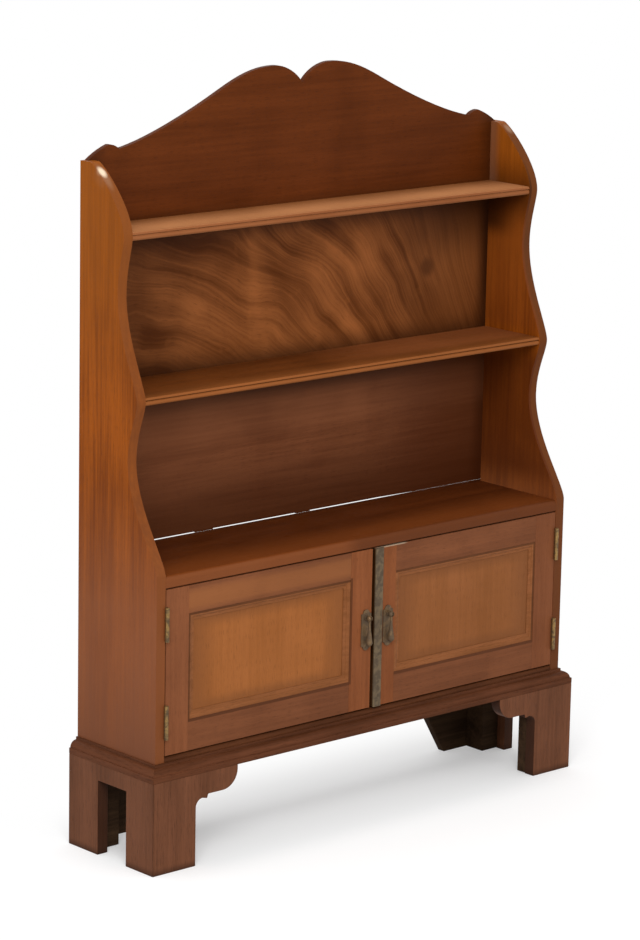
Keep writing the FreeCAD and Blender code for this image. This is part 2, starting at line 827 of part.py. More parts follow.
def door(meeting_edge, pull_inset):
    """All pieces of a door hung on the left, with its pull set in from the meeting edge."""
    stile_inner = hinge_edge + hinge_stile_width
    meeting_inner = meeting_edge - meeting_stile_width
    opening_bottom = door_bottom + bottom_rail_width
    opening_top = door_top - top_rail_width
    groove_low, groove_high = panel_groove_span()
    low_tenon, high_tenon = tenon_spans()
    pull_x = meeting_edge - pull_inset

    hinge_cuts = []
    for height in hinge_heights:
        recess, holes = door_leaf_recess(height)
        hinge_cuts.extend([recess] + holes)
    panel_reach = panel_groove - panel_play
    screws = [screw for height in hinge_heights for screw in leaf_screws(height, 1)]
    return {
        "door_hinge_stile": stile(hinge_edge, stile_inner).cut(hinge_cuts),
        "door_meeting_stile": stile(meeting_edge, meeting_inner).cut(stud_hole(pull_x)),
        "door_top_rail": door_rail(stile_inner, meeting_inner, opening_top, door_top,
                                   high_tenon, (opening_top, groove_high)),
        "door_bottom_rail": door_rail(stile_inner, meeting_inner, door_bottom, opening_bottom,
                                      low_tenon, (groove_low, opening_bottom)),
        "door_panel": box(stile_inner - panel_reach, meeting_inner + panel_reach,
                          groove_front, groove_back,
                          opening_bottom - panel_reach, opening_top + panel_reach),
        "door_mouldings": door_mouldings(stile_inner, meeting_inner, opening_bottom, opening_top),
        "door_hinge_leaves": group([hinge_leaf(height, 1) for height in hinge_heights]),
        "door_hinge_screws": group(screws),
        "pull_plate": pull_plate(pull_x),
        "pull_stud": pull_stud(pull_x),
        "pull_pin": pull_pin(pull_x),
        "pull_nut": pull_nut(pull_x),
        "pull_drop": pull_drop(pull_x),
    }


def brass_strip(meeting_edge):
    """Brass strip along the meeting edge, on the face of the door, with rounded arrises."""
    face = front - strip_thickness
    x0 = meeting_edge - strip_width
    round_back = face + strip_round
    outline = Outline(seen_from_above(door_bottom), (x0, front))
    outline.line((x0, round_back)).quarter((x0 + strip_round, round_back), (x0 + strip_round, face))
    edge = meeting_edge - strip_round
    outline.line((edge, face)).quarter((edge, round_back), (meeting_edge, round_back))
    outline.line((meeting_edge, front))
    return outline.extrude(z=door_top - door_bottom)


def bolt_middle():
    """Distance across of the slide bolt, in the middle of the left meeting stile."""
    return left_meeting_edge - meeting_stile_width / 2


def bolt_depths():
    """Front and back face of the bolt, behind the door."""
    near = door_back + bolt_plate_thickness + bolt_clearance
    return near, near + bolt_thickness


def bolt_plate_span():
    """Lowest and highest edge of the plate of the slide bolt."""
    return (door_top - bolt_length - bolt_plate_margin + bolt_travel, door_top - bolt_plate_space)


def bolt_plate():
    """Plate of the slide bolt with two straps that guide it."""
    x = bolt_middle()
    near, far = bolt_depths()
    bottom, top = bolt_plate_span()
    plate = box(x - bolt_plate_width / 2, x + bolt_plate_width / 2, door_back,
                door_back + bolt_plate_thickness, bottom, top)
    half = bolt_width / 2 + bolt_clearance
    straps = []
    for strap_top in (top - bolt_clearance, bottom + bolt_strap_height + bolt_clearance):
        strap_bottom = strap_top - bolt_strap_height
        outside = box(x - half - bolt_strap_wall, x + half + bolt_strap_wall,
                      door_back + bolt_plate_thickness, far + bolt_clearance + bolt_strap_wall,
                      strap_bottom, strap_top)
        way = box(x - half, x + half, door_back + bolt_plate_thickness, far + bolt_clearance,
                  strap_bottom, strap_top)
        straps.append(outside.cut(way))
    return plate.fuse(straps).removeSplitter()


def door_bolt():
    """Flat bolt with a knob, drawn back."""
    x = bolt_middle()
    near, far = bolt_depths()
    top = door_top - bolt_top_space
    bar = box(x - bolt_width / 2, x + bolt_width / 2, near, far, top - bolt_length, top)
    strap_top = bolt_plate_span()[0] + bolt_strap_height + bolt_clearance
    knob_height = strap_top + bolt_knob_space + bolt_knob_radius
    knob = rod(bolt_knob_radius, Vector(x, far, knob_height), Vector(0, 1, 0), bolt_knob_length)
    return bar.fuse(knob).removeSplitter()


def keeper_cuts():
    """Recess of the keeper and hole of the bolt in the underside of the cupboard top."""
    x = bolt_middle()
    near, far = bolt_depths()
    middle = (near + far) / 2
    recess = box(x - keeper_length / 2, x + keeper_length / 2, middle - keeper_width / 2,
                 middle + keeper_width / 2, cupboard_ceiling, cupboard_ceiling + keeper_thickness)
    half = bolt_width / 2 + keeper_hole_clearance
    hole_top = door_top - bolt_top_space + bolt_travel + keeper_hole_clearance
    hole = box(x - half, x + half, near - keeper_hole_clearance, far + keeper_hole_clearance,
               cupboard_ceiling, hole_top)
    return recess, hole


def catch_tongue(x):
    """Tongue of the spring catch with the plate that fixes it to the door."""
    z = door_bottom + tongue_lift
    bottom = door_bottom + tongue_plate_space
    plate = box(x - tongue_width / 2, x + tongue_width / 2, door_back,
                door_back + tongue_plate_thickness, bottom, bottom + tongue_plate_height)
    tongue = box(x - tongue_width / 2, x + tongue_width / 2, door_back,
                 door_back + tongue_length, z, z + tongue_thickness)
    return plate.fuse(tongue).removeSplitter()


def catch_clip(x):
    """Spring clip on the cupboard floor, bent from one strip of brass around the tongue."""
    z0 = door_bottom + tongue_lift - clip_clearance
    z1 = z0 + tongue_thickness + 2 * clip_clearance
    mouth = door_back + tongue_plate_thickness + clip_end_space + clip_lip
    inside = door_back + tongue_length + clip_end_space
    outside = inside + clip_metal
    lip = mouth - clip_lip
    points = (
        (lip, z1 + clip_lip_flare), (mouth, z1), (inside, z1), (inside, z0), (mouth, z0),
        (lip, z0 - clip_lip_flare), (lip, z0 - clip_lip_flare - clip_metal),
        (mouth, z0 - clip_metal), (inside, z0 - clip_metal), (inside, floor_top),
        (inside + clip_foot_length, floor_top), (inside + clip_foot_length, floor_top + clip_metal),
        (outside, floor_top + clip_metal), (outside, z1 + clip_metal), (mouth, z1 + clip_metal),
        (lip, z1 + clip_lip_flare + clip_metal),
    )
    return polygon(seen_from_side(x - clip_width / 2), points).extrude(x=clip_width)


def door_stops():
    """Two strips under the cupboard top that the doors close against."""
    y = door_back + door_stop_clearance
    low = cupboard_ceiling - stop_section
    bolt_side = bolt_middle() - bolt_plate_width / 2 - stop_end_space
    right_start = right_meeting_edge + meeting_stile_width
    spans = ((-inner_half + stop_end_space, bolt_side), (right_start, inner_half - stop_end_space))
    return group([box(x0, x1, y, y + stop_section, low, cupboard_ceiling) for x0, x1 in spans])


def carcase():
    """Boards of the carcase and the back."""
    floor_board, top_board, middle_board, upper_board = housed_boards()
    middle_joint = middle_shelf_height - shelf_thickness / 2
    top_joint = top_shelf_height - shelf_thickness / 2
    joint = cupboard_top_height + back_joint_rise
    left = side_board()
    return {
        "left_side": left,
        "right_side": mirrored(left),
        "top_shelf": shelf(*upper_board),
        "middle_shelf": shelf(*middle_board),
        "cupboard_top": nosed_board(*top_board).cut(list(keeper_cuts())),
        "cupboard_floor": nosed_board(*floor_board),
        "cupboard_back_board": cupboard_back(joint),
        "back_lower_board": lower_board(joint, middle_joint),
        "back_upper_board": back_board(middle_joint, top_joint),
        "back_crest_board": crest_board(top_joint),
        "door_stops": door_stops(),
    }


def base():
    """Moulded rails and bracket feet."""
    pieces = {"base_front_rail": front_rail(), "base_rear_rail": rear_rail()}
    for name, piece in (("base_{}_rail", side_rail()), ("front_{}_bracket", front_bracket()),
                        ("{}_side_bracket", side_bracket()), ("rear_{}_bracket", rear_bracket())):
        pieces[name.format("left")] = piece
        pieces[name.format("right")] = mirrored(piece)
    for name, piece in (("front_foot_blocks", front_block()), ("rear_foot_blocks", rear_block())):
        pieces[name] = group([piece, mirrored(piece)])
    return pieces


def case_hardware():
    """Brass that stays with the carcase."""
    leaves = [hinge_leaf(height, -1) for height in hinge_heights]
    pins = [hinge_pin(height) for height in hinge_heights]
    screws = [screw for height in hinge_heights for screw in leaf_screws(height, -1)]
    recess, hole = keeper_cuts()
    return {
        "hinge_case_leaves": group(leaves + [mirrored(leaf) for leaf in leaves]),
        "hinge_pins": group(pins + [mirrored(pin) for pin in pins]),
        "hinge_case_screws": group(screws + [mirrored(screw) for screw in screws]),
        "bolt_keeper": recess.cut(hole),
        "catch_clip": catch_clip(right_meeting_edge + meeting_stile_width / 2),
    }


def doors():
    """Both doors with their fittings."""
    pull_inset = pull_edge_gap + pull_plate_width / 2
    pieces = {}
    for name, piece in door(left_meeting_edge, pull_inset).items():
        pieces["left_" + name] = piece
    for name, piece in door(-right_meeting_edge, strip_width + pull_inset).items():
        pieces["right_" + name] = mirrored(piece)
    pieces["bolt_plate"] = bolt_plate()
    pieces["door_bolt"] = door_bolt()
    pieces["brass_strip"] = mirrored(brass_strip(-right_meeting_edge))
    pieces["catch_tongue"] = catch_tongue(right_meeting_edge + meeting_stile_width / 2)
    return pieces


def main():
    """Write each piece to its own file."""
    os.makedirs("parts", exist_ok=True)
    for pieces in (carcase(), base(), case_hardware(), doors()):
        for name, shape in pieces.items():
            shape.exportStep(os.path.join("parts", name + ".step"))


main()
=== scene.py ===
"""Looks of the cupboard bookcase: finishes, small fixings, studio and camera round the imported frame.

Metres. X runs to the right, Y to the back and Z up, with the origin on the floor under the middle.
"""
import logging
import math
from dataclasses import dataclass, field
from enum import Enum
from typing import Any, Optional, Union

import bpy
from mathutils import Euler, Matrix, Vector


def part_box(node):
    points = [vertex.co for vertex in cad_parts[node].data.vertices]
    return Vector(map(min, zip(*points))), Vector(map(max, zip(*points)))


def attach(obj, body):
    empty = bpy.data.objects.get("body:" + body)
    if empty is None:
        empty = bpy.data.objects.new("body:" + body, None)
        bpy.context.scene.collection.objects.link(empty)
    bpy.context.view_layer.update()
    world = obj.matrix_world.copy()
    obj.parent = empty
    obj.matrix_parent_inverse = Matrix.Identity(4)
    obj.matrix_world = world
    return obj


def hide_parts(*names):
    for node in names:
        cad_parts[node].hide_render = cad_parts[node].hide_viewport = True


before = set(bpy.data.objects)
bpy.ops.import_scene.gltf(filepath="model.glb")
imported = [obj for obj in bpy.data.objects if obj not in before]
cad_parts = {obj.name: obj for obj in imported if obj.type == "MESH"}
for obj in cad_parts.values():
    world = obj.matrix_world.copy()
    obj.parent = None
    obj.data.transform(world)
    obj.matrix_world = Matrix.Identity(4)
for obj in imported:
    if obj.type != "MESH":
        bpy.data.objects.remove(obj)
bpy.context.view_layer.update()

LOG = logging.getLogger("bookcase")

FACING = "facing"

Triple = tuple[float, float, float]
Material = bpy.types.Material
Node = bpy.types.Node
Socket = bpy.types.NodeSocket
Value = Union["Signal", Node, Socket, float, tuple, str]


class Grain(Enum):
    """Direction in which the grain of a board runs, as the turn that lays it along X."""

    ACROSS = (0.0, 0.0, 0.0)
    UPRIGHT = (0.0, math.radians(90), 0.0)
    DEEP = (0.0, 0.0, math.radians(90))


class Fixing(Enum):
    """Kind of small fixing."""

    SLOTTED_SCREW = "slotted_screw"
    ROUND_PIN = "round_pin"


class NodeTree:
    """A node tree that is filled through one method."""

    def __init__(self, tree: bpy.types.NodeTree) -> None:
        """Keep the tree.

        Args:
            tree: The shader or geometry tree to fill.
        """
        self.tree = tree

    def node(self, kind: str, inputs: Optional[dict[Any, Value]] = None, **settings: Any) -> Node:
        """Add a node.

        Args:
            kind: The node's type.
            inputs: Values or links by socket name or number. A node links its first output.
            settings: Properties of the node, set first.

        Returns:
            The new node.
        """
        made = self.tree.nodes.new(kind)
        for key, value in settings.items():
            setattr(made, key, value)
        for key, value in (inputs or {}).items():
            if isinstance(value, Signal):
                value = value.socket
            elif isinstance(value, Node):
                value = value.outputs[0]
            if isinstance(value, Socket):
                self.tree.links.new(value, made.inputs[key])
            else:
                made.inputs[key].default_value = value
        return made

    def vector(self, x: Value, y: Value, z: Value) -> Node:
        """Join three numbers."""
        return self.node("ShaderNodeCombineXYZ", {0: x, 1: y, 2: z})


class Signal:
    """A value in a tree: arithmetic on it adds Math nodes."""

    def __init__(self, owner: NodeTree, socket: Socket) -> None:
        """Wrap a socket.

        Args:
            owner: The tree that the socket is in.
            socket: The output that carries the value.
        """
        self.owner = owner
        self.socket = socket

    def _math(self, operation: str, first: Value, second: Value) -> "Signal":
        """Join two values by one Math node."""
        made = self.owner.node("ShaderNodeMath", {0: first, 1: second}, operation=operation)
        return Signal(self.owner, made.outputs[0])

    def __add__(self, other: Value) -> "Signal":
        """Sum."""
        return self._math("ADD", self, other)

    __radd__ = __add__

    def __sub__(self, other: Value) -> "Signal":
        """Difference."""
        return self._math("SUBTRACT", self, other)

    def __rsub__(self, other: Value) -> "Signal":
        """Difference from a number."""
        return self._math("SUBTRACT", other, self)

    def __mul__(self, other: Value) -> "Signal":
        """Product."""
        return self._math("MULTIPLY", self, other)

    __rmul__ = __mul__

    def __rpow__(self, other: Value) -> "Signal":
        """Number raised to this value."""
        return self._math("POWER", other, self)

    def step(self, start: float, end: float) -> "Signal":
        """Rise smoothly from 0 at the start to 1 at the end.

        Args:
            start: Value that gives 0.
            end: Value that gives 1.

        Returns:
            The mask.
        """
        made = self.owner.node("ShaderNodeMapRange", {"Value": self, "From Min": start, "From Max": end},
                               interpolation_type="SMOOTHSTEP")
        return Signal(self.owner, made.outputs[0])


class ShaderTree(NodeTree):
    """A material's nodes, with the few that every finish needs."""

    def __init__(self, name: str) -> None:
        """Make an empty material.

        Args:
            name: Name of the material.
        """
        self.material = bpy.data.materials.new(name)
        self.material.use_nodes = True
        super().__init__(self.material.node_tree)
        self.tree.nodes.clear()
        self.place = self.node("ShaderNodeTexCoord").outputs["Object"]

    def parts(self, vector: Value) -> list[Signal]:
        """Split a vector into its three values."""
        split = self.node("ShaderNodeSeparateXYZ", {0: vector})
        return [Signal(self, output) for output in split.outputs]

    def facing(self) -> list[Signal]:
        """Way in which the face looks, as the smoothing tree has noted it."""
        noted = self.node("ShaderNodeAttribute", attribute_name=FACING)
        return self.parts(noted.outputs["Vector"])

    def stretched(self, vector: Value, scale: Triple) -> Node:
        """Scale a vector along each axis."""
        return self.node("ShaderNodeVectorMath", {0: vector, 1: scale}, operation="MULTIPLY")

    def length(self, vector: Value) -> Signal:
        """Length of a vector."""
        made = self.node("ShaderNodeVectorMath", {0: vector}, operation="LENGTH")
        return Signal(self, made.outputs["Value"])

    def noise(self, vector: Value, scale: float, detail: float, distortion: float = 0.0) -> Signal:
        """Cloudy noise about 0.5.

        Args:
            vector: Where it is read.
            scale: Clouds per metre.
            detail: Number of finer layers.
            distortion: How far the clouds are pulled about.

        Returns:
            The noise.
        """
        made = self.node("ShaderNodeTexNoise", {"Vector": vector, "Scale": scale, "Detail": detail,
                                                "Distortion": distortion})
        return Signal(self, made.outputs[0])

    def mixed(self, first: Value, second: Value, share: Value) -> Socket:
        """Mix two colours.

        Args:
            first: Colour at share 0.
            second: Colour at share 1.
            share: How much of the second.

        Returns:
            The mixed colour.
        """
        made = self.node("ShaderNodeMix", {0: share, 6: opaque(first), 7: opaque(second)}, data_type="RGBA")
        return made.outputs[2]

    def relief(self, height: Signal, depth: float, strength: float) -> Node:
        """Turn a height into a bumped normal."""
        return self.node("ShaderNodeBump", {"Height": height, "Distance": depth, "Strength": strength})

    def finish(self, inputs: dict[str, Value]) -> Material:
        """Close the material with its shader.

        Args:
            inputs: Values or links of the shader's sockets.

        Returns:
            The material.
        """
        shader = self.node("ShaderNodeBsdfPrincipled", inputs)
        self.node("ShaderNodeOutputMaterial", {"Surface": shader})
        return self.material


def show(thing: bpy.types.Object) -> None:
    """Put an object into the scene."""
    bpy.context.scene.collection.objects.link(thing)


def opaque(colour: Value) -> Value:
    """Give a plain colour the fourth number that its socket takes."""
    return (*colour, 1.0) if isinstance(colour, tuple) and len(colour) == 3 else colour


@dataclass(frozen=True)
class Shift:
    """A change of colour along one axis, such as a front painted lighter where light falls on it."""

    axis: int
    start: float
    end: float
    colour: Triple
    amount: float

    def mask(self, wood: ShaderTree) -> Signal:
        """Where the change shows."""
        return wood.parts(wood.place)[self.axis].step(self.start, self.end)


@dataclass(frozen=True)
class Facing:
    """A change of colour on faces that look along one axis: one way, or both with sign 0."""

    LIMITS = (0.35, 0.75)

    axis: int
    sign: float
    colour: Triple
    amount: float

    def mask(self, wood: ShaderTree) -> Signal:
        """Where the change shows."""
        along = wood.facing()[self.axis]
        return (along * (self.sign if self.sign else along)).step(*self.LIMITS)


@dataclass(frozen=True)
class Spot:
    """A soft round or long spot, such as a painted highlight on a shoulder or a knot."""

    LIMITS = (1.0, 0.3)

    centre: Triple
    spread: Triple
    colour: Triple
    amount: float

    def mask(self, wood: ShaderTree) -> Signal:
        """Where the spot shows."""
        away = wood.node("ShaderNodeVectorMath", {0: wood.place, 1: self.centre}, operation="SUBTRACT")
        scaled = wood.stretched(away, tuple(1.0 / part for part in self.spread))
        return wood.length(scaled).step(*self.LIMITS)


@dataclass(frozen=True)
class Area:
    """A soft-edged area between limits along some axes, or all that lies outside it.

    Each limit is an axis, its low and high end and the width over which the edge fades. The area
    ends at a place along Y, so that a change on the front of a board, such as painted shade, leaves its back
    plain.
    """

    END_FADE = 0.001

    limits: tuple[tuple[int, float, float, float], ...]
    colour: Triple
    amount: float
    outside: bool = False
    end: float = 1.0

    def mask(self, wood: ShaderTree) -> Signal:
        """Where the change shows."""
        places = wood.parts(wood.place)
        inside = 1.0
        for axis, low, high, fade in self.limits:
            place = places[axis]
            inside = place.step(low, low + fade) * place.step(high, high - fade) * inside
        shown = 1.0 - inside if self.outside else inside
        return shown * places[1].step(self.end, self.end - self.END_FADE)


@dataclass(frozen=True)
class Flame:
    """Crotch figure, level at the left and steep at the right, that comes and goes in patches."""

    rise: float = 0.169
    growth: float = 66.7
    warp_scale: float = 7.0
    warp_height: float = 0.09
    swirl_scale: float = 22.0
    swirl_height: float = 0.012
    patch_scale: float = 11.0
    patch_limits: tuple[float, float] = (0.36, 0.62)
    patch_share: float = 0.7
    calm_limits: tuple[float, float] = (0.16, 0.3)
    calm_share: float = 0.6

    def lay(self, wood: ShaderTree, share: float) -> tuple[Node, Signal]:
        """Lay out the figure.

        Args:
            wood: The tree to fill.
            share: Strength of the bands where the figure is strongest.

        Returns:
            Coordinates with the run of the figure along X, and the strength of its bands.
        """
        across, _, up = wood.parts(wood.place)
        warp = wood.noise(wood.place, self.warp_scale, 1.5)
        swirl = wood.noise(wood.place, self.swirl_scale, 2.0)
        fall = (up + self.rise * self.growth ** across + self.warp_height * (warp - 0.5)
                + self.swirl_height * (swirl - 0.5))
        patches = wood.noise(wood.place, self.patch_scale, 1.0).step(*self.patch_limits)
        calm = self.calm_share * across.step(*self.calm_limits)
        strength = share * (1.0 - self.patch_share + self.patch_share * patches) * (1.0 - calm)
        return wood.vector(across, fall, 0.0), strength


@dataclass(frozen=True)
class Timber:
    """Old polished wood with bands, streaks, pores, clouds and scuffs."""

    BAND_STRETCH = (0.07, 1.0, 1.0)
    STREAK_STRETCH = (0.035, 1.0, 1.0)
    PORE_STRETCH = (0.05, 1.0, 1.0)

    name: str
    dark: Triple
    light: Triple
    grain: Grain
    flame: Optional[Flame] = None
    offset: Triple = (0.0, 0.0, 0.0)
    band_scale: float = 24.0
    band_twist: float = 0.7
    band_share: float = 0.9
    streak_share: float = 0.7
    cloud_share: float = 0.6
    streak_scale: float = 210.0
    cloud_scale: float = 6.5
    pore_scale: float = 1500.0
    scuff_scale: float = 38.0
    relief_depth: float = 0.0005
    relief_strength: float = 0.3
    roughness: float = 0.42
    specular: float = 0.05
    changes: tuple[Union[Shift, Facing, Spot, Area], ...] = ()

    def build(self) -> Material:
        """Make the material.

        Returns:
            The finished material.
        """
        wood = ShaderTree(self.name)
        turned = wood.node("ShaderNodeMapping", {"Vector": wood.place, "Location": self.offset,
                                                 "Rotation": self.grain.value})
        contrast = self.band_share
        if self.flame is not None:
            turned, contrast = self.flame.lay(wood, self.band_share)
        bands = wood.noise(wood.stretched(turned, self.BAND_STRETCH), self.band_scale, 3.0, self.band_twist)
        streaks = wood.noise(wood.stretched(turned, self.STREAK_STRETCH), self.streak_scale, 3.0)
        clouds = wood.noise(wood.place, self.cloud_scale, 2.0, 0.6)
        pores = wood.noise(wood.stretched(turned, self.PORE_STRETCH), self.pore_scale, 1.0).step(0.58, 0.7)
        scuffs = wood.noise(wood.place, self.scuff_scale, 4.0).step(0.62, 0.76)
        tone = (contrast * (bands - 0.5) + self.streak_share * (streaks - 0.5)
                + self.cloud_share * (clouds - 0.5) + 0.5).step(0.1, 0.9)
        colour = wood.mixed(self.dark, self.light, tone)
        colour = wood.mixed(colour, tuple(0.45 * part for part in self.dark), 0.4 * pores)
        colour = wood.mixed(colour, tuple(1.25 * part for part in self.light), 0.14 * scuffs)
        for change in self.changes:
            share = change.mask(wood) * (change.amount * (0.6 + 0.8 * clouds))
            colour = wood.mixed(colour, change.colour, share)
        rough = self.roughness + 0.16 * (streaks - 0.5) + 0.14 * scuffs + 0.12 * pores
        height = 0.35 * streaks + 0.5 * clouds - 0.9 * pores - 0.2 * scuffs
        return wood.finish({
            "Base Color": colour, "Roughness": rough, "Specular IOR Level": self.specular,
            "Normal": wood.relief(height, self.relief_depth, self.relief_strength),
        })


@dataclass(frozen=True)
class Brass:
    """Brass under a patina that is thin where hands and doors rub it."""

    name: str
    metal: Triple
    patina: Triple
    cover_start: float
    cover_end: float
    metallic: float = 0.9
    roughness: float = 0.34
    blotch_scale: float = 120.0
    grit_scale: float = 900.0
    rub_scale: float = 700.0

    def build(self) -> Material:
        """Make the material.

        Returns:
            The finished material.
        """
        brass = ShaderTree(self.name)
        blotches = brass.noise(brass.place, self.blotch_scale, 4.0, 0.4)
        grit = brass.noise(brass.place, self.grit_scale, 2.0)
        rubs = brass.noise(brass.stretched(brass.place, (1.0, 1.0, 0.05)), self.rub_scale, 2.0)
        cover = blotches.step(self.cover_start, self.cover_end)
        colour = brass.mixed(self.metal, self.patina, cover)
        colour = brass.mixed(colour, tuple(0.5 * part for part in self.patina), 0.5 * grit.step(0.5, 0.8))
        rough = self.roughness + 0.28 * cover + 0.2 * (rubs - 0.5)
        metallic = self.metallic - 0.45 * cover
        height = 0.5 * grit + 0.3 * rubs + 0.6 * cover
        return brass.finish({
            "Base Color": colour, "Roughness": rough, "Metallic": metallic,
            "Normal": brass.relief(height, 0.0002, 0.4),
        })


class GeometryTree(NodeTree):
    """A geometry tree that takes a mesh and some values and gives a mesh."""

    def __init__(self, name: str, values: dict[str, str]) -> None:
        """Make the tree with its sockets.

        Args:
            name: Name of the tree.
            values: Kind of each value's socket by its label.
        """
        super().__init__(bpy.data.node_groups.new(name, "GeometryNodeTree"))
        self.inputs: dict[str, str] = {}
        sockets = self.tree.interface
        for label, kind in {"Mesh": "Geometry", **values}.items():
            made = sockets.new_socket(label, in_out="INPUT", socket_type="NodeSocket" + kind)
            self.inputs[label] = made.identifier
        sockets.new_socket("Mesh", in_out="OUTPUT", socket_type="NodeSocketGeometry")
        self.given = self.node("NodeGroupInput").outputs

    def apply(self, piece: bpy.types.Object, values: dict[str, Any]) -> None:
        """Put the tree on an object.

        Args:
            piece: The object.
            values: The tree's values by label.
        """
        modifier = piece.modifiers.new(self.tree.name, "NODES")
        modifier.node_group = self.tree
        for label, value in values.items():
            modifier[self.inputs[label]] = value


class SmoothTree(GeometryTree):
    """Tree that shades a mesh smoothly except over sharp edges, and notes how faces look."""

    def __init__(self) -> None:
        """Build the tree."""
        super().__init__("smooth_by_angle", {"Angle": "Float"})
        edge = self.node("GeometryNodeInputMeshEdgeAngle")
        sharp = self.node("FunctionNodeCompare", {0: edge, 1: self.given["Angle"]}, operation="GREATER_THAN")
        smooth = self.node("GeometryNodeSetShadeSmooth", {"Geometry": self.given["Mesh"]}, domain="FACE")
        marked = self.node("GeometryNodeSetShadeSmooth",
                           {"Geometry": smooth, "Selection": sharp, "Shade Smooth": False}, domain="EDGE")
        normal = self.node("GeometryNodeInputNormal")
        noted = self.node("GeometryNodeStoreNamedAttribute",
                          {"Geometry": marked, "Name": FACING, "Value": normal},
                          data_type="FLOAT_VECTOR", domain="FACE")
        self.node("NodeGroupOutput", {0: noted})


class FixingTree(GeometryTree):
    """Tree that sets one kind of fixing on every point of a mesh, facing its axis."""

    SHANK_SHARE = 0.52
    SLOT_SHARE = 0.3
    POINT_RADIUS = 0.0003

    def __init__(self, kind: Fixing) -> None:
        """Build the tree.

        Args:
            kind: What is set on the points.
        """
        super().__init__(kind.value, {"Head Radius": "Float", "Head Height": "Float", "Length": "Float",
                                      "Seed": "Int", "Material": "Material"})
        self._place(self._screw() if kind is Fixing.SLOTTED_SCREW else self._pin())

    def _screw(self) -> Node:
        """Countersunk screw with a slot across its flat head, which lies at height 0."""
        radius, height, length = (Signal(self, self.given[label])
                                  for label in ("Head Radius", "Head Height", "Length"))
        shank = radius * self.SHANK_SHARE
        head = self.node("GeometryNodeMeshCone",
                         {"Vertices": 24, "Radius Top": radius, "Radius Bottom": shank, "Depth": height})
        placed = self.node("GeometryNodeTransform",
                           {0: head, "Translation": self.vector(0.0, 0.0, height * -1.0)})
        slot = self.node("GeometryNodeMeshCube",
                         {"Size": self.vector(radius * 3.0, radius * self.SLOT_SHARE, height)})
        cut = self.node("GeometryNodeMeshBoolean", {0: placed, 1: slot}, operation="DIFFERENCE",
                        solver="EXACT")
        stem = self.node("GeometryNodeMeshCone",
                         {"Vertices": 16, "Radius Top": shank, "Radius Bottom": self.POINT_RADIUS,
                          "Depth": length - height})
        below = self.node("GeometryNodeTransform",
                          {0: stem, "Translation": self.vector(0.0, 0.0, length * -1.0)})
        joined = self.node("GeometryNodeJoinGeometry")
        for part in (cut, below):
            self.tree.links.new(part.outputs[0], joined.inputs[0])
        return joined

    def _pin(self) -> Node:
        """Low round head, sunk by half."""
        radius, height = self.given["Head Radius"], self.given["Head Height"]
        ball = self.node("GeometryNodeMeshUVSphere", {"Segments": 16, "Rings": 8, "Radius": 1.0})
        return self.node("GeometryNodeTransform", {0: ball, "Scale": self.vector(radius, radius, height)})

    def _place(self, body: Node) -> None:
        """Set the fixing on each point, turned at random about its axis, and close the tree.

        Args:
            body: Gives the geometry of one fixing.
        """
        axis = self.node("GeometryNodeInputNamedAttribute", {"Name": "axis"}, data_type="FLOAT_VECTOR")
        aligned = self.node("FunctionNodeAlignRotationToVector", {"Vector": axis}, axis="Z")
        spin = self.node("FunctionNodeRandomValue", {2: 0.0, 3: math.pi, "Seed": self.given["Seed"]},
                         data_type="FLOAT")
        turn = self.node("FunctionNodeAxisAngleToRotation",
                         {"Axis": (0.0, 0.0, 1.0), "Angle": spin.outputs[1]})
        rotation = self.node("FunctionNodeRotateRotation", {0: aligned, 1: turn}, rotation_space="LOCAL")
        set_out = self.node("GeometryNodeInstanceOnPoints",
                            {"Points": self.given["Mesh"], "Instance": body, "Rotation": rotation})
        real = self.node("GeometryNodeRealizeInstances", {0: set_out})
        dressed = self.node("GeometryNodeSetMaterial", {0: real, "Material": self.given["Material"]})
        self.node("NodeGroupOutput", {0: dressed})


@dataclass
class FixingSet:
    """Equal fixings on one body: places, sizes and what they stand for."""

    name: str
    body: str
    kind: Fixing
    points: list[tuple[Triple, Triple]]
    head_radius: float
    head_height: float
    length: float = 0.0
    seed: int = 1
    slot: str = "brass_fittings"
    stands_for: Optional[str] = None

    def build(self, workshop: "Workshop", material: Material) -> None:
        """Set out the fixings as one plain mesh.

        Args:
            workshop: Holds the trees.
            material: Finish of the fixings.
        """
        mesh = bpy.data.meshes.new(self.name + "_points")
        mesh.from_pydata([place for place, _ in self.points], [], [])
        axes = mesh.attributes.new("axis", "FLOAT_VECTOR", "POINT")
        for index, (_, axis) in enumerate(self.points):
            axes.data[index].vector = axis
        draft = bpy.data.objects.new(self.name + "_points", mesh)
        show(draft)
        workshop.trees[self.kind].apply(draft, {
            "Head Radius": self.head_radius, "Head Height": self.head_height,
            "Length": self.length, "Seed": self.seed, "Material": material})
        shown = draft.evaluated_get(bpy.context.evaluated_depsgraph_get())
        piece = bpy.data.objects.new(self.name, bpy.data.meshes.new_from_object(shown))
        piece.data.name = self.name
        bpy.data.objects.remove(draft)
        show(piece)
        if self.stands_for is not None:
            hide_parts(self.stands_for)
        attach(piece, self.body)
        LOG.info("%s: %d fixings on %s", self.name, len(self.points), self.body)


